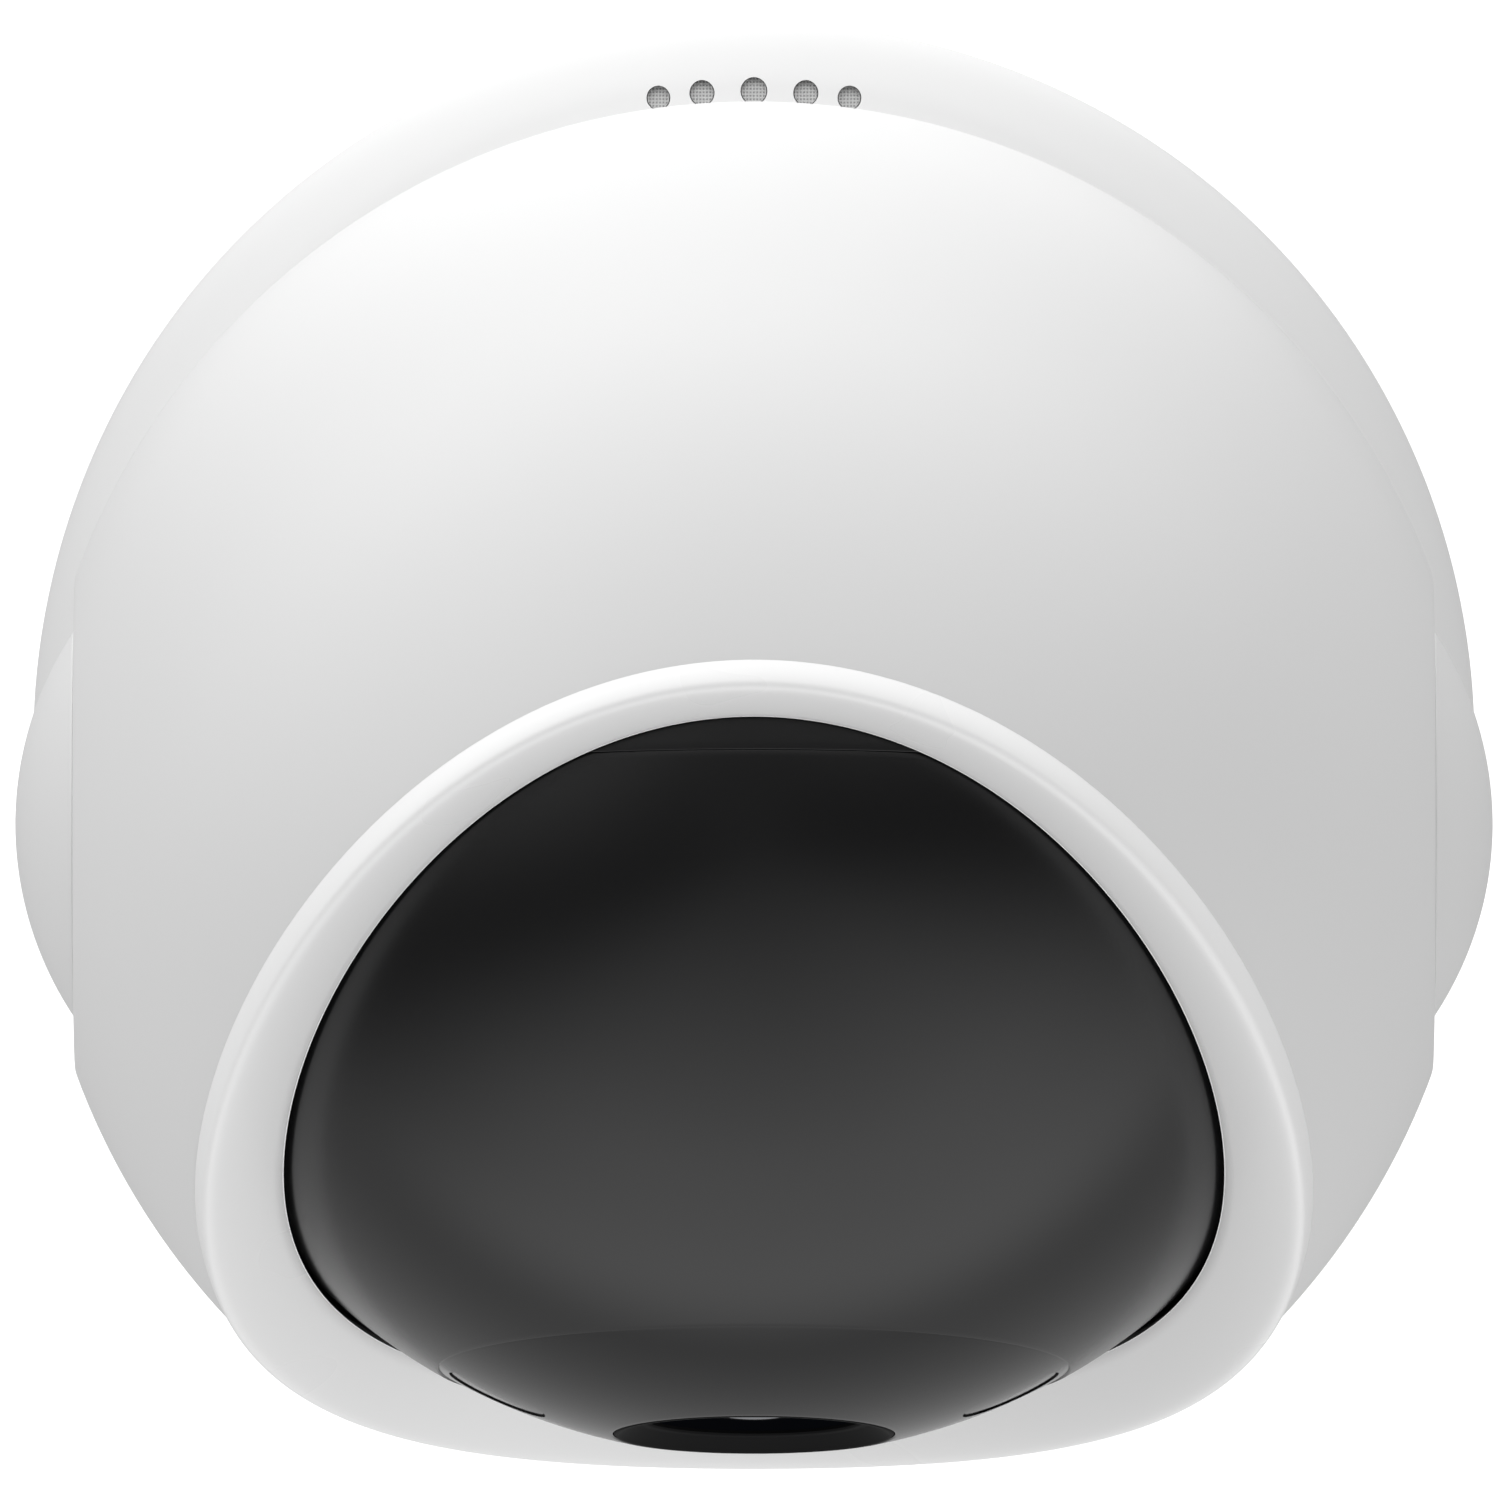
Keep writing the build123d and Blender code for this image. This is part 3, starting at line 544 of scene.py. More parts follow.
def circuit_board():
    """Green solder mask over copper: darker tracks under a clear, slightly wavy lacquer."""
    material, tree, shader, place = new_material("green_solder_mask")
    tracks = add(tree, "TexBrick", [("Vector", place)], Scale=1 / (8 * MM), Mortar_Size=0.03)
    fill(tracks, Color1=linear("#0E5A32"), Color2=linear("#0C4F2C"), Mortar=linear("#16723F"))
    tree.links.new(tracks.outputs["Color"], shader.inputs["Base Color"])
    mould_texture(tree, shader, place, 1.2, 0.01, 0.3)
    return material


def foot_rubber():
    """Moulded silicone rubber: matt, with a dusty light grazing sheen."""
    material = plastic("grey_silicone_rubber", linear("#8A8C8E"), 0.72, 0.5, 0.02, 0.04, 1.43)
    fill(shader_of(material), Sheen_Weight=0.3)
    return material


def clear_resin(name, hex_code):
    """Clear cast resin, as on a lamp or a light pipe: bright, smooth and see-through."""
    material = plastic(name, linear(hex_code), 0.1, 2.0, 0.001)
    fill(shader_of(material), Transmission_Weight=0.6)
    return material


def finishes():
    """The finish of each material slot in the record."""
    colours = bpy.context.scene.finish_colours
    return {
        # Very finely eroded ABS has soft broad highlights and no mirror.
        "white_shell": plastic("white_abs_satin", colours.shell, 0.38, 0.35, 0.002),
        # The trim comes from a polished mould, a little glossier than the shells beside it.
        "white_gloss": plastic("white_abs_polished", colours.rim, 0.28, 0.5, 0.001),
        # Left rough from the mould, as nobody sees it: no highlight at all.
        "base_plate": plastic("white_abs_matt", linear("#E9E9E9"), 0.55, 0.5, 0.01),
        "foot_rubber": foot_rubber(),
        # Zinc plate is cool grey and a little dull.
        "steel_screw": metal("zinc_plated_steel", "#B9BABD", 0.3, 0.4),
        # Acetal is waxy, creamy and smooth.
        "acetal": plastic("natural_acetal", linear("#E9E6DA"), 0.35, 0.4, 0.003),
        # Drawn cans show long lines, and ground shafts are almost mirrors.
        "motor_steel": metal("drawn_plated_steel", "#C4C5C8", 0.32, 0.8),
        "shaft_steel": metal("ground_steel", "#D2D3D5", 0.15, 0.2),
        "circuit_board": circuit_board(),
        # Nickel plate is bright and slightly warm.
        "socket_metal": metal("nickel_plated_steel", "#CFCFD0", 0.22, 0.5),
        # Filled nylon is dry and grainy, with a broad weak sheen.
        "speaker_black": plastic("black_filled_nylon", linear("#1B1B1C"), 0.6, 0.3, 0.01),
        "mesh_grey": acoustic_mesh(),
        "frame_grey": plastic("grey_filled_nylon", linear("#56595C"), 0.5, 0.4, 0.01),
        "ball_black": ball_black("gloss_black_abs", 0.24),
        "face_black": face_black(),
        "ir_window": window_acrylic(),
        # Bead-blasted anodise drinks the light round the lens.
        "bezel_black": plastic(
            "matt_black_anodise", linear("#0A0A0B"), 0.65, 0.25, 0.004, ior=1.2
        ),
        "lens_glass": lens_coating(),
        "led": clear_resin("lamp_epoxy", "#E8E2D0"),
        "light_pipe": clear_resin("light_pipe_acrylic", "#E4E7EA"),
        # Rolled sheet has fine straight lines.
        "heat_aluminium": metal("rolled_aluminium", "#D6D7D8", 0.35, 0.3),
        # Flexible circuits are smooth films, moulded cards and buttons are semi-matt.
        "antenna_flex": plastic("black_flexible_circuit", linear("#141416"), 0.4, 0.6, 0.005),
        "card_black": plastic("black_card_epoxy", linear("#171718"), 0.45, 0.2, 0.003),
        "button_black": plastic("black_button_abs", linear("#161617"), 0.4, 0.3, 0.003),
    }


class PANCAM_OT_finishes(bpy.types.Operator):
    """Makes every finish and puts it on the CAD pieces that stay"""

    bl_idname = "pancam.finishes"
    bl_label = "Finishes"

    def execute(self, context):
        FINISH.update(finishes())
        for name, node in frame["nodes"].items():
            node.data.materials.clear()
            node.data.materials.append(FINISH[SLOTS[name]])
        return {"FINISHED"}


# ---------------------------------------------------------------- base


class PANCAM_OT_base(bpy.types.Operator):
    """Flared base shell with its shoulder, neck, seat, speaker holes and lead channel"""

    bl_idname = "pancam.base"
    bl_label = "Base shell"

    def execute(self, context):
        """An outline turned about the pan axis, with the speaker holes and lead channel cut out.

        It runs up the rounded foot, round the shoulder's circle, along the flank, over the lip,
        down the seat, which is a sphere about the pivot, round the bearing's deck, and back down
        inside the wall.
        """
        size = context.scene.base_sizes
        low = frame_box_low("base_shell")
        pivot = PIVOT[2]
        fillet = 0.35 * MM
        shoulder_end, deck_radius = 50, 16 * MM
        shoulder = (size.radius - size.shoulder, size.edge_height)
        outside = arc(shoulder, size.shoulder, 0, shoulder_end, 40)
        inside = arc(shoulder, size.shoulder - size.wall, 0, shoulder_end, 24)
        seat_start = math.degrees(math.asin((pivot - size.neck_height) / size.seat)) + 0.5
        seat_end = math.degrees(math.acos(deck_radius / size.seat))
        seat = arc((0, pivot), size.seat, -seat_start, -seat_end, 30)
        neck = (size.neck_radius, size.neck_height - 2 * fillet)
        crest = size.neck_height + fillet * 0.3
        lip = bezier(neck, (neck[0], crest), (seat[0, 0] + fillet * 0.3, crest), seat[0], count=14)
        deck = [(16, 31), (10, 31), (10, 26.5), (12.5, 26.5), (12.5, 28), (17.9, 28), (17.9, 34.4)]
        groove = [(40.7, 2.8), (40.3, 2.8), (40.3, low / MM)]
        profile = np.concatenate(
            [
                rounded_foot(size.radius, low, fillet),
                outside,
                flank(outside[-1], neck, shoulder_end)[1:-1],
                lip,
                seat[1:],
                np.array(deck) * MM,
                flank(inside[-1], (25.2 * MM, 38.4 * MM), shoulder_end)[::-1],
                inside[::-1][1:],
                np.array(groove) * MM,
            ]
        )
        piece = new_object("base_body", *turned(profile, 320))
        channel = brick(np.array([-2.5, 36, -1]) * MM, np.array([2.5, 50, 3.4]) * MM)
        cutters = []
        for angle, radius in SPEAKER_HOLES:
            points, faces = plug(radius * MM, 5 * MM, 20 * MM)
            turn = math.radians(90 + angle)
            shift = np.array([math.cos(turn), math.sin(turn), 0]) * size.hole_circle
            cutters.append((points + shift, faces))
        carve(piece, [*cutters, channel])
        dress(piece, "base_shell")
        return {"FINISHED"}


def frame_box_low(node):
    """Height of a CAD node's lowest point."""
    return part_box(node)[0][2]


def rounded_foot(radius, low, fillet):
    """The lower outside edge as a quarter circle."""
    return arc((radius - fillet, low + fillet), fillet, -90, 0, 6)


# ---------------------------------------------------------------- head


def opening_half_angle(size, ring):
    """Half the opening's angle about the tilt axis where the head's section has a ring radius.

    The ring meets the cylinder's circle at two points, the same angle either side of the line
    from the cylinder's axis through the pivot; where they don't meet the angle is 0.
    """
    reach = math.hypot(size.arc_y, size.arc_z)
    share = (ring**2 + reach**2 - size.arc_radius**2) / (2 * ring * reach)
    return np.pi - np.arccos(np.clip(share, -1, 1))


def head_columns(size):
    """Stations across the head: distance from the middle, ring radius, opening's half angle.

    On the sphere the ring radius is the root of the radius squared less the distance squared. A
    small bend leads to the flat side, where the distance stays and the ring shrinks to the bore.
    Also gives the opening's middle angle and where its edge crosses the horizon.
    """
    crease, bore = 0.4 * MM, 9.0 * MM
    middle = -math.atan2(size.arc_z, size.arc_y)
    gap = size.arc_radius - math.hypot(size.arc_y, size.arc_z)
    widest = math.sqrt(size.radius**2 - gap**2)
    level_y = size.arc_y - math.sqrt(size.arc_radius**2 - size.arc_z**2)
    level = math.sqrt(size.radius**2 - level_y**2)
    turn = np.linspace(0, np.pi / 2, 120)
    open_part = np.unique(np.append(widest * np.sin(turn), level))
    closed_part = np.linspace(widest, size.flat - crease, 18)[1:]
    ring = np.sqrt(size.radius**2 - np.concatenate([open_part, closed_part]) ** 2)
    x = np.concatenate([open_part, closed_part])
    corner = (size.flat, math.sqrt(size.radius**2 - size.flat**2))
    below = (size.flat, corner[1] - crease)
    bend = bezier((x[-1], ring[-1]), corner, corner, below, count=8)[1:]
    flat = np.stack([np.full(8, size.flat), np.linspace(below[1], bore, 9)[1:]], axis=1)
    x = np.concatenate([x, bend[:, 0], flat[:, 0]])
    ring = np.concatenate([ring, bend[:, 1], flat[:, 1]])
    half = np.where(x <= widest, opening_half_angle(size, ring), 0.0)
    return x, ring, half, middle, level


def ring_grid(x, ring, start, end, count, near, far):
    """Points on rings round the tilt axis, from a start to an end angle above the front horizon.

    Each row is a distance along the ring, and the surface sinks at a rounded near or far edge.
    """
    span = np.abs(end - start) * ring
    distance = rows_to(span, count, near, far)
    direction = np.sign(end - start + 1e-12)
    angle = start + direction * distance / ring
    drop = edge_drop(distance, near) if near else 0.0
    drop = drop + (edge_drop(span - distance, far) if far else 0.0)
    radius = ring - drop
    points = [np.broadcast_to(x, angle.shape), -radius * np.cos(angle), radius * np.sin(angle)]
    return np.stack(points, axis=-1), quads(*angle.shape)


def both_sides(grid):
    """A grid and its mirror image across the middle."""
    points, faces = grid
    return [(points, faces), (points * np.array([-1, 1, 1]), faces[:, ::-1])]


class PANCAM_OT_head(bpy.types.Operator):
    """Upper and lower half shells of the head, with the flat sides and the opening's edge"""

    bl_idname = "pancam.head"
    bl_label = "Head shells"

    def execute(self, context):
        """Rings about the tilt axis, each broken between the opening's middle angle less its half
        and plus its half; the shells meet at the horizon, in front only beside the opening."""
        size = context.scene.head_sizes
        x, ring, half, middle, level = head_columns(size)
        seam, least_wing = 0.16 * MM, 0.6 * MM
        rear = np.full_like(x, np.pi)
        top, bottom = middle + half, middle - half
        wing = (x > level) & (bottom * ring > least_wing)
        upper_rear = ring_grid(x, ring, top, rear, 110, 0, seam)
        front_end = np.where(wing, 0.0, bottom) + 2 * np.pi
        lower = ring_grid(x, ring, rear, front_end, 130, seam, seam)
        horizon = np.zeros(wing.sum())
        upper_front = ring_grid(x[wing], ring[wing], horizon, bottom[wing], 60, seam, 0)
        shells = {
            "head_upper_shell": both_sides(upper_rear) + both_sides(upper_front),
            "head_lower_shell": both_sides(lower),
        }
        for node, grids in shells.items():
            points, faces = joined(grids)
            piece = new_object(node.replace("shell", "half"), points + PIVOT, faces)
            thicken(piece, size.wall)
            dress(piece, node)
        return {"FINISHED"}


class PANCAM_OT_rim(bpy.types.Operator):
    """White trim ring that rises from the head round the opening and falls towards the ball"""

    bl_idname = "pancam.rim"
    bl_label = "Opening trim"

    def execute(self, context):
        """A closed section carried round the opening's edge, square to the edge and the sphere.

        The edge is where the head's sphere meets the cutting cylinder. A point of the section is
        so far across the edge, towards the opening, and so far out from the pivot.
        """
        size = context.scene.head_sizes
        reach = math.hypot(size.arc_y, size.arc_z)
        share = (size.radius**2 - reach**2 - size.arc_radius**2) / (2 * size.arc_radius * reach)
        swing, toward = math.acos(share), math.atan2(size.arc_z, size.arc_y)
        high, low = toward + swing, toward + 2 * math.pi - swing
        turn = np.linspace(0, 2 * np.pi, 480, endpoint=False)
        through_opening = np.array([0, -0.74, 0.67])

        def edge(angle):
            """Points of the edge, from its highest one round by an angle."""
            around = (high + low) / 2 - (low - high) / 2 * np.cos(angle)
            y = size.arc_y + size.arc_radius * np.cos(around)
            z = size.arc_z + size.arc_radius * np.sin(around)
            x = np.sqrt(np.maximum(size.radius**2 - y * y - z * z, 0)) * np.sign(np.sin(angle))
            return np.stack([x, y, z], axis=1)

        here = edge(turn)
        here[[0, len(turn) // 2], 0] = 0
        along = np.roll(here, -1, axis=0) - np.roll(here, 1, axis=0)
        radial = here / np.linalg.norm(here, axis=1, keepdims=True)
        inward = np.cross(radial, along)
        inward /= np.linalg.norm(inward, axis=1, keepdims=True)
        if (inward @ through_opening).sum() < 0:
            inward = -inward
        slope = bezier((-0.02, -0.02), (0.45, 0.23), (0.9, 0.43), (1.3, 0.52), count=10)
        crest = bezier((1.3, 0.52), (1.62, 0.59), (1.82, 0.48), (1.93, -0.1), count=14)[1:]
        inner = bezier((1.93, -0.1), (2.05, -0.75), (2.18, -2.4), (2.3, -4.55), count=14)[1:]
        hidden = [(2.3, -4.86), (1.0, -4.86), (0.6, -3.7), (-2.2, -3.7), (-2.2, -2.45)]
        back = rounded(hidden, 0.08)
        section = np.concatenate([slope, crest, inner, back, [(-0.02, -2.45)]]) * MM
        across, up = section[:, 0][None, :, None], section[:, 1][None, :, None]
        points = here[:, None] + inward[:, None] * across + radial[:, None] * up + PIVOT
        faces = quads(len(turn), len(section), wrap_rows=True, wrap_columns=True)
        piece = new_object("opening_trim", points, faces)
        dress(piece, "eye_rim")
        return {"FINISHED"}


class PANCAM_OT_domes(bpy.types.Operator):
    """Shallow domes over the two pivots"""

    bl_idname = "pancam.domes"
    bl_label = "Pivot domes"

    def execute(self, context):
        """A spherical cap of even thickness, turned about the tilt axis, with its edge rounded off
        at the flat side."""
        size = context.scene.head_sizes
        inside = size.cap_radius - 1.3 * MM
        centre = size.cap_top - size.cap_radius
        reach = math.degrees(math.acos((size.flat - centre) / size.cap_radius))
        outer = arc((0, centre), size.cap_radius, 90, 90 - reach + 0.5, 60)
        inner_reach = math.degrees(math.acos((size.flat - centre) / inside))
        inner = arc((0, centre), inside, 90 - inner_reach, 90, 30)
        rim = outer[-1, 0]
        edge = np.array([(rim + 0.02 * MM, size.flat + 0.06 * MM), (rim - 0.1 * MM, size.flat)])
        points, faces = turned(np.concatenate([outer, edge, inner]), 200, closed=False)
        for node, side in (("side_cap_right", 1), ("side_cap_left", -1)):
            name = node.replace("side_cap", "pivot_dome")
            piece = new_object(name, along_side(points, side) + PIVOT, faces)
            dress(piece, node)
        return {"FINISHED"}


# ---------------------------------------------------------------- ball


def ball_grid(size, start, end, count, near, far):
    """Part of the ball between two angles from the lens axis, with rounded edges and flat poles."""
    span = (end - start) * size.radius
    distance = rows_to(span, count, near, far)[:, 0]
    angle = start + distance / size.radius
    radius = size.radius - edge_drop(distance, near) - edge_drop(span - distance, far)
    profile = np.stack([radius * np.sin(angle), radius * np.cos(angle)], axis=1)
    points, faces = turned(profile, 360, closed=False)
    points = along_lens(points)
    points[..., 0] = np.clip(points[..., 0], -size.pole, size.pole)
    return points, faces


def radial_plug(radius, near, far, beside, above=0.0, columns=48):
    """A cylinder along a radius of the ball, at angles beside and above the lens axis."""
    points, faces = plug(radius, near, far, columns)
    return turn_z(turn_x(along_lens(points), -above), beside), faces


class PANCAM_OT_ball(bpy.types.Operator):
    """Front and rear half shells of the ball, with the hubs, the card slot and the reset hole"""

    bl_idname = "pancam.ball"
    bl_label = "Ball shells"

    def execute(self, context):
        """Two parts of one sphere, from the face panel's edge to the seam and from there to the
        back, cut flat at the poles; cylinders, a slot and a finger scoop are cut out of them."""
        size = context.scene.ball_sizes
        face_edge = math.asin((size.face + 0.02 * MM) / size.radius)
        seam, back = math.acos(size.seam / size.radius), math.pi - 0.0001
        fillet, beyond, below = 0.08 * MM, 45 * MM, -20 * MM
        hub = plug(7.3 * MM, -beyond, beyond, 96)
        hub = (along_side(hub[0], 1), hub[1])
        slot = brick(np.array([-6.1, -19.35, -45]) * MM, np.array([6.1, -17.65, -20]) * MM)
        reset = plug(1.28 * MM, -beyond, below)
        reset = (reset[0] + np.array([10.5, -18.9, 0]) * MM, reset[1])
        scoop = turned(arc((0, 0), 5.6 * MM, -90, 90, 33), 64, closed=False)
        scoop = (scoop[0] + np.array([0, -18.5, -37.2]) * MM, scoop[1])
        front_cuts = [hub, slot, reset, scoop]
        rear_black = ball_black("satin_black_abs", 0.3, "#131314")
        halves = {
            "ball_front_shell": (face_edge, seam, fillet, fillet, front_cuts, None),
            "ball_rear_shell": (seam, back, fillet, 0, [hub], rear_black),
        }
        for node, (start, end, near, far, cutters, black) in halves.items():
            points, faces = ball_grid(size, start, end, 120, near, far)
            piece = new_object(node.replace("shell", "half"), on_ball(points), faces)
            thicken(piece, size.wall)
            carve(piece, [(on_ball(corners), sides) for corners, sides in cutters])
            dress(piece, node, black)
        return {"FINISHED"}


class PANCAM_OT_face(bpy.types.Operator):
    """Dark face panel flush with the ball, and the two infrared windows in it"""

    bl_idname = "pancam.face"
    bl_label = "Face panel"

    def execute(self, context):
        """The panel's outline is just inside the ball's sphere, with a thinner sphere as its lining
        and a ledge to sit on. Each window is a cap of the ball's sphere on a short plug."""
        size = context.scene.ball_sizes
        skin, lining = size.radius - 0.12 * MM, size.radius - 1.6 * MM
        start, end = math.asin(size.lens_hole / skin), math.asin(size.face / skin)
        span = (end - start) * skin
        near, far = 0.12 * MM, 0.03 * MM
        distance = rows_to(span, 40, near, far)[:, 0]
        angle = start + distance / skin
        radius = skin - edge_drop(distance, near) - edge_drop(span - distance, far)
        outer = np.stack([radius * np.sin(angle), radius * np.cos(angle)], axis=1)
        ledge, ledge_height = 17.1 * MM, 30.6 * MM
        from_axis = [math.degrees(math.asin(r / lining)) for r in (ledge, size.lens_hole)]
        inner = arc((0, 0), lining, 90 - from_axis[0], 90 - from_axis[1], 24)
        seat = np.array([(size.face, ledge_height), (ledge, ledge_height)])
        points, faces = turned(np.concatenate([outer, seat, inner]), 300)
        piece = new_object("face_panel", on_ball(along_lens(points)), faces)
        beyond, window_hole = 45 * MM, size.window + 0.05 * MM
        cutters = [
            radial_plug(window_hole, 34 * MM, beyond, side * size.window_angle) for side in (-1, 1)
        ]
        status_light = radial_plug(0.8 * MM, 30 * MM, beyond, 0, math.radians(-19))
        carve(piece, [(on_ball(corners), sides) for corners, sides in (*cutters, status_light)])
        dress(piece, "face_cover")
        reach = math.degrees(math.asin(size.window / size.radius))
        top = arc((0, 0), size.radius - 0.22 * MM, 90, 90 - reach + 0.15, 14)
        foot = size.radius - 1.5 * MM
        side_wall = [(size.window, top[-1, 1] - 0.1 * MM), (size.window, foot), (0, foot)]
        points, faces = turned(np.concatenate([top, side_wall]), 64, closed=False)
        for node, side in (("ir_window_right", 1), ("ir_window_left", -1)):
            place = on_ball(turn_z(along_lens(points), side * size.window_angle))
            window = new_object(node.replace("ir", "infrared"), place, faces)
            dress(window, node)
        return {"FINISHED"}


class PANCAM_OT_lens(bpy.types.Operator):
    """Stepped lens bezel, bulging front glass and the barrel's ribbed nose"""

    bl_idname = "pancam.lens"
    bl_label = "Lens"

    def execute(self, context):
        """Each piece is an outline turned about the lens axis, its heights towards the front. The
        glass is a shallow cap of a sphere in a flat ring."""
        clear, bulge, apex = context.scene.ball_sizes.clear / MM, 12.0, 35.2
        mouth = [(8.2, 32.2), (8.2, 36.05), (8.1, 36.15), (7.95, 36.15), (6.95, 35.39)]
        step = [(6.85, 35.35), (6.5, 35.35), (6.42, 35.31), (6.35, 35.2), (6.35, 33.4)]
        back = [(5.3, 33.4), (5.3, 32.2)]
        bezel = np.array(mouth + step + back) * MM
        reach = math.degrees(math.asin(clear / bulge))
        dome = arc((0, apex - bulge), bulge, 90, 90 - reach, 40)
        ring = [(clear + 0.05, dome[-1, 1]), (6.2, 35.05), (6.3, 34.95), (6.3, 33.6), (0, 33.6)]
        glass = np.concatenate([dome, ring]) * MM
        tip = [(4.2, 30.6), (4.2, 32.2), (5.2, 32.4), (5.2, 32.2), (6.4, 32.2)]
        ribs = [(6.4, 25.4), (5.6, 25.4), (5.6, 22.4), (2.6, 22.4), (2.6, 30.6)]
        nose = np.array(tip + ribs) * MM
        pieces = (
            ("lens_bezel", "lens_surround", bezel, True),
            ("lens_glass", "front_glass", glass, False),
            ("lens_barrel", "lens_tube", nose, True),
        )
        for node, name, profile, closed in pieces:
            points, faces = turned(profile, 160, closed=closed)
            piece = new_object(name, on_ball(along_lens(points)), faces, sharp=25)
            dress(piece, node)
        return {"FINISHED"}


# ---------------------------------------------------------------- stage


class PANCAM_OT_stage(bpy.types.Operator):
    """Pale floor, soft light from the horizon and the camera above"""

    bl_idname = "pancam.stage"
    bl_label = "Stage"

    def execute(self, context):
        self.floor(context)
        self.sky(context)
        self.camera(context)
        context.scene.view_settings.view_transform = "Standard"
        return {"FINISHED"}

    def floor(self, context):
        """A wide disc for the camera only, lit a little from within so that it stays pale.

        The light that a pale table throws up comes from the surroundings instead.
        """
        points, faces = turned(np.array([[0.0, 0.0], [0.2, 0.0], [30.0, 0.0]]), 96, closed=False)
        floor = new_object("floor", points, faces)
        material, tree, shader, place = new_material("pale_floor")
        tinted(tree, shader, place, context.scene.finish_colours.floor, 0.01, 3.0)
        fill(shader, Roughness=0.9, Specular_IOR_Level=0.1)
        fill(shader, Emission_Color=(1, 1, 1, 1), Emission_Strength=0.75)
        floor.data.materials.append(material)
        floor.visible_diffuse = False
        floor.visible_glossy = False

    def sky(self, context):
        """Studio brightness by direction: two broad soft panels and an even part above the horizon.

        A panel's brightness is full about its azimuth and fades to its sides, and it rises from
        dim straight overhead to whole near the horizon. Across the horizon the light changes
        smoothly to the glow of a pale table, which is stronger towards the rear.
        """
        world = bpy.data.worlds.new("studio")
        context.scene.world = world
        world.use_nodes = True
        tree = world.node_tree
        tree.nodes.clear()
        place = add(tree, "TexCoord").outputs["Generated"]
        height = add(tree, "SeparateXYZ", [("Vector", place)]).outputs["Z"]
        from_top = add(tree, "Math", [(0, height)], [("operation", "ARCCOSINE")])
        level = add(tree, "VectorMath", [(0, place)], [("operation", "MULTIPLY")])
        level.inputs[1].default_value = (1, 1, 0)
        heading = add(tree, "VectorMath", [(0, level.outputs[0])], [("operation", "NORMALIZE")])
        smooth = [("interpolation_type", "SMOOTHSTEP")]

        def panel(azimuth, side, full, least, most):
            """From least, at an angle to the side, to most, at the full angle about an azimuth."""
            turn = math.radians(azimuth)
            facing = [("operation", "DOT_PRODUCT")]
            near = add(tree, "VectorMath", [(0, heading.outputs[0])], facing)
            near.inputs[1].default_value = (math.cos(turn), math.sin(turn), 0)
            light = add(tree, "MapRange", [("Value", near.outputs["Value"])], smooth)
            low, high = math.cos(math.radians(side)), math.cos(math.radians(full))
            fill(light, From_Min=low, From_Max=high, To_Min=least, To_Max=most)
            return light.outputs["Result"]

        def raised(light, start, end, least):
            """A panel's light times its rise from least to 1 between two angles from overhead."""
            rise = add(tree, "MapRange", [("Value", from_top.outputs[0])], To_Min=least)
            fill(rise, From_Min=math.radians(start), From_Max=math.radians(end))
            factors = [(0, light), (1, rise.outputs["Result"])]
            return add(tree, "Math", factors, [("operation", "MULTIPLY")]).outputs[0]

        front = raised(panel(-80, 84, 16, 0.0, FRONT_LIGHT), 6, 62, 0.15)
        back = raised(panel(104, 96, 20, 0.0, BACK_LIGHT), 18, 98, 0.04)
        both = add(tree, "Math", [(0, front), (1, back)], [("operation", "ADD")])
        upper = add(tree, "Math", [(0, both.outputs[0])], [("operation", "ADD")])
        upper.inputs[1].default_value = EVEN_LIGHT
        table = panel(95, 70, 15, TABLE_LIGHT, TABLE_LIGHT * TABLE_REAR)
        above = add(tree, "MapRange", [("Value", height)], smooth, From_Min=-0.35, From_Max=0.05)
        blend = [("Factor", above.outputs["Result"]), ("A", table), ("B", upper.outputs[0])]
        strength = add(tree, "Mix", blend, [("data_type", "FLOAT")])
        glow = add(tree, "Background", [("Strength", strength.outputs[0])], Color=(1, 1, 1, 1))
        add(tree, "OutputWorld", [("Surface", glow.outputs["Background"])])

    def camera(self, context):
        """Looks almost straight down, leaning back by the tilt, with a very long lens.

        Its distance is the focal length over the sensor's width, times the width in view.
        """
        tilt = math.radians(3.7)
        width_in_view, aim_left, aim_up = 87.92 * MM, 0.234 * MM, 4.338 * MM
        focal, sensor = 1400.0, 36.0
        data = bpy.data.cameras.new("overhead")
        data.lens, data.sensor_width = focal, sensor
        distance = focal / sensor * width_in_view
        right = np.array([1.0, 0.0, 0.0])
        up = np.array([0.0, math.cos(tilt), -math.sin(tilt)])
        back = np.array([0.0, math.sin(tilt), math.cos(tilt)])
        place = PIVOT - right * aim_left + up * aim_up + back * distance
        rows = [[right[i], up[i], back[i], place[i]] for i in range(3)]
        data.clip_start, data.clip_end = 0.1, distance * 4
        camera = bpy.data.objects.new("overhead", data)
        camera.matrix_world = Matrix(rows + [[0, 0, 0, 1]])
        context.scene.collection.objects.link(camera)
        context.scene.camera = camera


class PANCAM_PT_sidebar(bpy.types.Panel):
    """The camera's pieces, sizes and colours"""

    bl_idname = "PANCAM_PT_sidebar"
    bl_label = "Pan and tilt camera"
    bl_space_type = "VIEW_3D"
    bl_region_type = "UI"
    bl_category = "Camera"

    def draw(self, context):
        scene = context.scene
        for operator in OPERATORS:
            self.layout.operator(operator.bl_idname)
        for group in (scene.base_sizes, scene.head_sizes, scene.ball_sizes, scene.finish_colours):
            box = self.layout.box()
            for name in group.__annotations__:
                box.prop(group, name)


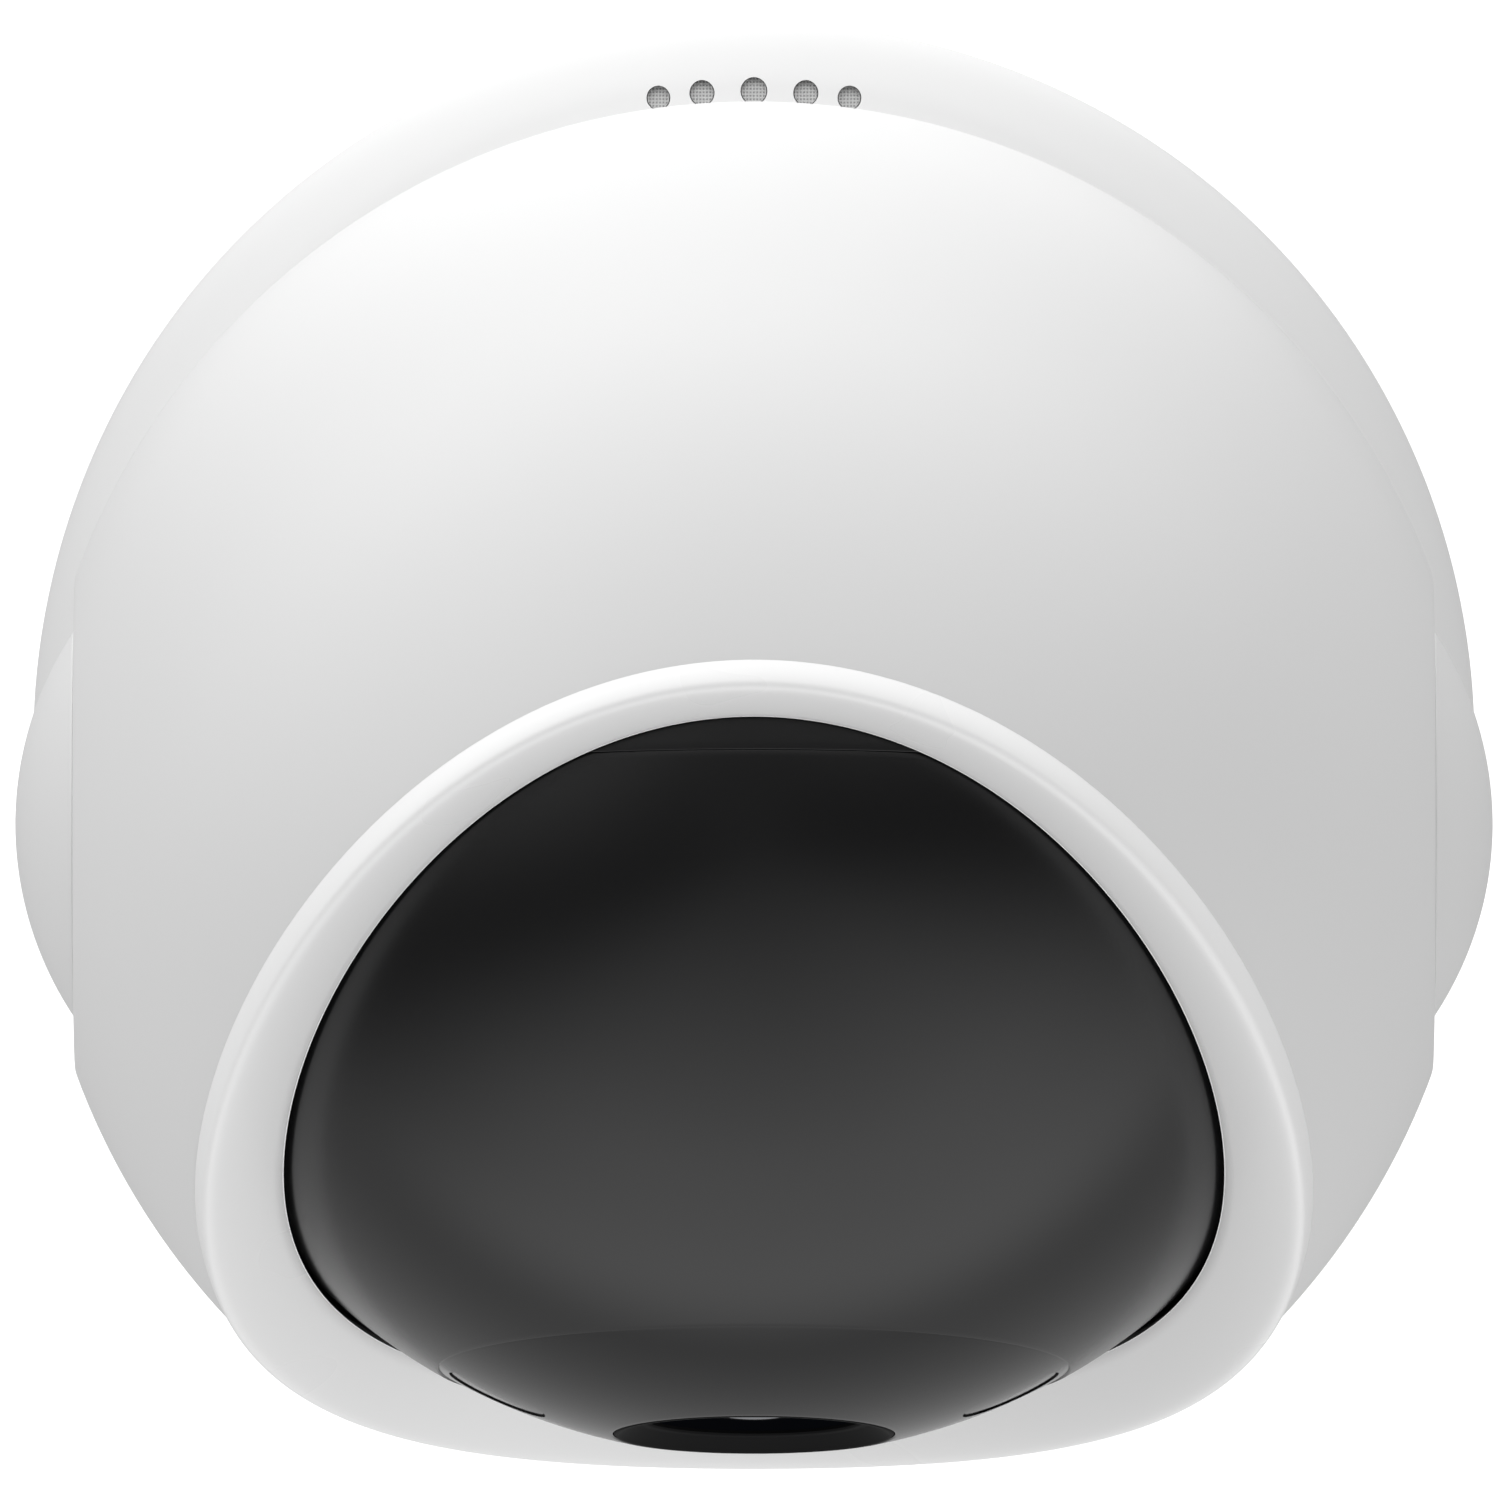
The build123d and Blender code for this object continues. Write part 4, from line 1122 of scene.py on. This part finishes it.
GROUPS = {
    "base_sizes": BaseSizes,
    "head_sizes": HeadSizes,
    "ball_sizes": BallSizes,
    "finish_colours": FinishColours,
}
OPERATORS = (
    PANCAM_OT_finishes,
    PANCAM_OT_base,
    PANCAM_OT_head,
    PANCAM_OT_rim,
    PANCAM_OT_domes,
    PANCAM_OT_ball,
    PANCAM_OT_face,
    PANCAM_OT_lens,
    PANCAM_OT_stage,
)


def register():
    for item in (*GROUPS.values(), *OPERATORS, PANCAM_PT_sidebar):
        bpy.utils.register_class(item)
    for name, group in GROUPS.items():
        setattr(bpy.types.Scene, name, PointerProperty(type=group))


def unregister():
    for name in GROUPS:
        delattr(bpy.types.Scene, name)
    for item in (PANCAM_PT_sidebar, *OPERATORS, *GROUPS.values()):
        bpy.utils.unregister_class(item)


def main():
    register()
    bpy.ops.pancam.finishes()
    bpy.ops.pancam.base()
    bpy.ops.pancam.head()
    bpy.ops.pancam.rim()
    bpy.ops.pancam.domes()
    bpy.ops.pancam.ball()
    bpy.ops.pancam.face()
    bpy.ops.pancam.lens()
    bpy.ops.pancam.stage()


if __name__ == "__main__":
    main()
